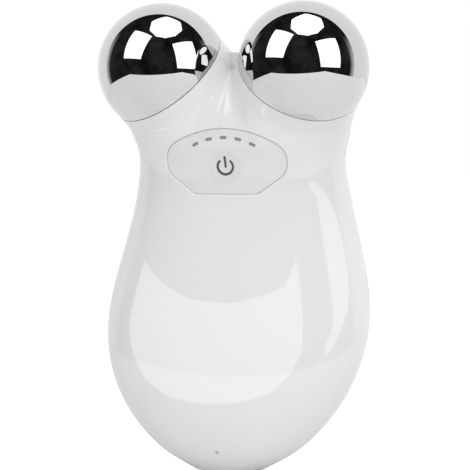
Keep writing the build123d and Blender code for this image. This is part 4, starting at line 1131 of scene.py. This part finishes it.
def is_ray(tree, *kinds):
    """1 on a ray of any of the kinds and 0 on others: the maximum of Light Path's outputs."""
    path = add_node(tree, "LightPath").outputs
    found = path[f"Is {kinds[0]} Ray"]
    for kind in kinds[1:]:
        found = add_node(tree, "Math", {0: found, 1: path[f"Is {kind} Ray"]}, operation="MAXIMUM")
    return found


world = bpy.data.worlds.new("white_surround")
world.use_nodes = True
bpy.context.scene.world = world
tree = world.node_tree
level = add_node(tree, "MapRange", {"Value": is_ray(tree, "Camera", "Glossy", "Transmission"),
                                    "To Min": AMBIENT, "To Max": 1.0})
feed(tree, tree.nodes["Background"], {"Color": WHITE, "Strength": level})

# Matt white paint, lifted toward white in view and a little in reflections, under its shadows.
table_paint, tree = new_material("white_table")
mirrored = add_node(tree, "Math", {0: is_ray(tree, "Glossy", "Transmission"), 1: TABLE_LIFT},
                    operation="MULTIPLY")
lift = add_node(tree, "Math", {0: is_ray(tree, "Camera"), 1: TABLE_LIFT_IN_VIEW, 2: mirrored},
                operation="MULTIPLY_ADD")
feed(tree, tree.nodes["Principled BSDF"], {
    "Base Color": linear("#E6E6E6"), "Roughness": 0.9, "Specular IOR Level": 0.0,
    "Emission Color": WHITE, "Emission Strength": lift,
})
table_grid = np.array([[(x, y, 0) for x in TABLE_X] for y in TABLE_Y]) / MM
mesh_object("table_top", [table_grid], table_paint)


def toward(azimuth, elevation):
    """Unit directions: azimuth in degrees from the front toward +X, elevation in degrees."""
    azimuth = np.radians(azimuth)
    elevation = np.radians(elevation)
    return np.stack([np.cos(elevation) * np.sin(azimuth), -np.cos(elevation) * np.cos(azimuth),
                     np.sin(elevation) + 0 * azimuth], -1)


def light_material(name, strength, clear=False):
    """White light of one strength, and what lies behind it too if it is clear."""
    material, tree = new_material(name)
    glow = add_node(tree, "Emission", {"Color": WHITE, "Strength": strength})
    light = glow
    if clear:
        light = add_node(tree, "AddShader", {0: glow, 1: add_node(tree, "BsdfTransparent")})
    feed(tree, tree.nodes["Material Output"], {"Surface": light})
    return material


def only_in_reflections(sheet):
    """Keeps a sheet, its light and its shadow from all but mirror reflections."""
    sheet.visible_camera = False
    sheet.visible_diffuse = False
    sheet.visible_transmission = False
    sheet.visible_shadow = False


# the unlit room is a dome open to the rear, in metres; near its rim it pales at both sides
ROOM_RADIUS = 2.6
ROOM_EDGE = np.radians(106.0)
ROOM_TURN = 6.6
ROOM_DIM = (0.006, 0.035)
ROOM_PALE = 0.75
front = toward(ROOM_TURN, 0.0)
beside = np.array([front[1], -front[0], 0])
room_light = light_material("unlit_room", 0.0)
tree = room_light.node_tree
way = add_node(tree, "VectorMath", {0: add_node(tree, "TexCoord").outputs["Object"]}, operation="NORMALIZE")
ahead = add_node(tree, "VectorMath", {0: way, 1: tuple(front)}, operation="DOT_PRODUCT").outputs["Value"]
aside = add_node(tree, "VectorMath", {0: way, 1: tuple(beside)}, operation="DOT_PRODUCT").outputs["Value"]
aside = add_node(tree, "Math", {0: aside}, operation="ABSOLUTE")
near_rim = add_node(tree, "MapRange", {"Value": ahead, "From Min": -0.08, "From Max": -0.27})
at_side = add_node(tree, "MapRange", {"Value": aside, "From Min": 0.75, "From Max": 0.95})
fade = add_node(tree, "Math", {0: near_rim, 1: at_side}, operation="MULTIPLY")
patches = add_node(tree, "TexNoise", {"Vector": way, "Scale": 2.5, "Detail": 2.0})
dim = add_node(tree, "MapRange", {"Value": patches, "From Min": 0.35, "From Max": 0.75,
                                  "To Min": ROOM_DIM[0], "To Max": ROOM_DIM[1]})
strength = add_node(tree, "MapRange", {"Value": fade, "To Min": dim, "To Max": ROOM_PALE})
feed(tree, tree.nodes["Emission"], {"Strength": strength})
off_axis = np.linspace(0, ROOM_EDGE, 24)[:, None, None]
turn = np.linspace(0, 2 * np.pi, 49)[None, :, None]
room_grid = ROOM_RADIUS / MM * (np.cos(off_axis) * front + np.sin(off_axis) * np.cos(turn) * beside
                                + np.sin(off_axis) * np.sin(turn) * np.array([0, 0, 1.0]))
only_in_reflections(mesh_object("room_dome", [room_grid], room_light))

# an eight-sided soft box overhead lights everything; its place and half size are in BOX_DISTANCE
BOX_DISTANCE = 1.1
BOX_RADIANCE = 2.0
OVERHEAD = np.array([0.17, -0.27, 1.0])
OVERHEAD_HALF = np.array([0.43, 0.5, 0])
SPHERES_Z = BALL_CENTRE[2]
turns = np.radians(22.5 + 45.0 * np.arange(9))
corners = OVERHEAD + OVERHEAD_HALF * np.stack([np.sin(turns), np.cos(turns), 0 * turns], -1)
overhead_grid = BOX_DISTANCE * np.stack([OVERHEAD + 0 * corners, corners]) / MM + [0, 0, SPHERES_Z]
overhead_light = light_material("overhead_soft_box", BOX_RADIANCE)
overhead = mesh_object("overhead_soft_box", [overhead_grid], overhead_light)
overhead.visible_camera = False


def receivers(name, pieces):
    """The collection of the pieces that a group of lights reaches."""
    group = bpy.data.collections.new(name)
    for piece in pieces:
        group.objects.link(piece)
    return group


def lamp(name, way, aim_z, width, height, radiance, lit=None, reflected=True, diffuse=True):
    """A rectangular lamp BOX_DISTANCE out along way, with its size in metres.

    It shines back at the handle's middle line at aim_z mm, on the lit collection or on everything.
    """
    way = np.array(way) / np.linalg.norm(way)
    data = bpy.data.lights.new(name, "AREA")
    data.shape = "RECTANGLE"
    data.size = width
    data.size_y = height
    data.energy = radiance * np.pi * width * height
    made = bpy.data.objects.new(name, data)
    across = np.cross([0, 0, 1.0], way)
    across /= np.linalg.norm(across)
    facing = Matrix((across, np.cross(way, across), way)).transposed().to_4x4()
    made.matrix_world = Matrix.Translation(BOX_DISTANCE * way + [0, 0, aim_z * MM]) @ facing
    made.visible_camera = False
    made.visible_glossy = reflected
    made.visible_diffuse = diffuse
    if lit:
        made.light_linking.receiver_collection = lit
    bpy.context.scene.collection.objects.link(made)


spheres_lit = receivers("spheres_lit", spheres)
lamp("left_soft_box", (-0.507, -0.64, 0.565), SPHERES_Z, 0.70, 0.88, BOX_RADIANCE, spheres_lit)
lamp("right_soft_box", (0.83, -0.45, 0.34), SPHERES_Z, 0.76, 0.90, BOX_RADIANCE, spheres_lit)

# The windows' outlines are (azimuth, height) points in degrees and mm. The front one leans in over
# the handle, wide at its foot, with rounded lower corners. The side one is tall and farther off.
FRONT_WINDOW_RADIUS = 86.0
FRONT_WINDOW_LEAN = 0.9
FRONT_WINDOW_FOOT = [(-69, 52), (-68, 40), (-63, 29), (-53, 14), (-39, 4), (-24, 1), (-7, 1), (15, 8),
                     (29, 21), (39, 34), (42, 42), (45, 50), (48, 59)]
FRONT_WINDOW_HEAD = [(-69, 55), (-46, 52), (-27, 50), (-5, 50), (14, 52), (34, 54), (48, 59)]
SIDE_WINDOW_RADIUS = 900.0
SIDE_WINDOW_FOOT = [(51, 50), (57, 41), (68, 126), (80, 199), (91, 261), (101, 315), (107, 361)]
SIDE_WINDOW_HEAD = [(51, 60), (53, 150), (62, 210), (65, 330), (67, 430), (69, 540), (76, 530),
                    (107, 380)]
WINDOW_MIDDLE_Y = 3.0
WINDOW_RADIANCE = 2.0

# a window lets through what is behind it, so it shows only in the pieces that it lights
window_light = light_material("window_light", WINDOW_RADIANCE, clear=True)


def window(name, foot_radius, lean, foot, head, columns, lit):
    """A curved sheet of light from its foot line up to its head line, seen only in reflections.

    At height z it is foot_radius - lean * z from the handle's middle line.
    """
    azimuths = np.linspace(foot[0][0], foot[-1][0], columns)
    low, high = [np.interp(azimuths, *np.array(line).T) for line in (foot, head)]
    z = low + np.linspace(0, 1, 33)[:, None] * (high - low)
    middle = np.stack([0 * z, 0 * z + WINDOW_MIDDLE_Y, z], -1)
    grid = middle + (foot_radius - lean * z)[..., None] * toward(azimuths, 0.0)
    sheet = mesh_object(name, [grid], window_light)
    sheet.light_linking.receiver_collection = lit
    only_in_reflections(sheet)


front_lit = receivers("front_shell_lit", [front_shell])
shells_lit = receivers("shells_lit", [front_shell, rear_shell])
window("front_window", FRONT_WINDOW_RADIUS, FRONT_WINDOW_LEAN, FRONT_WINDOW_FOOT, FRONT_WINDOW_HEAD, 118,
       front_lit)
window("side_window", SIDE_WINDOW_RADIUS, 0.0, SIDE_WINDOW_FOOT, SIDE_WINDOW_HEAD, 113, shells_lit)

# a small box above, seen in the neck, and three large lamps that only soften the handle's shading
lamp("upper_window", toward(-5.0, 49.0), 90.0, 0.7, 0.36, 2.2, front_lit, diffuse=False)
for name, way in (("key_fill", (38.0, 30.0)), ("low_fill", (5.0, 2.0)), ("rear_fill", (140.0, 25.0))):
    lamp(name, toward(*way), 45.0, 0.7, 0.7, 1.5, reflected=False)

bpy.context.scene.view_settings.view_transform = "Standard"
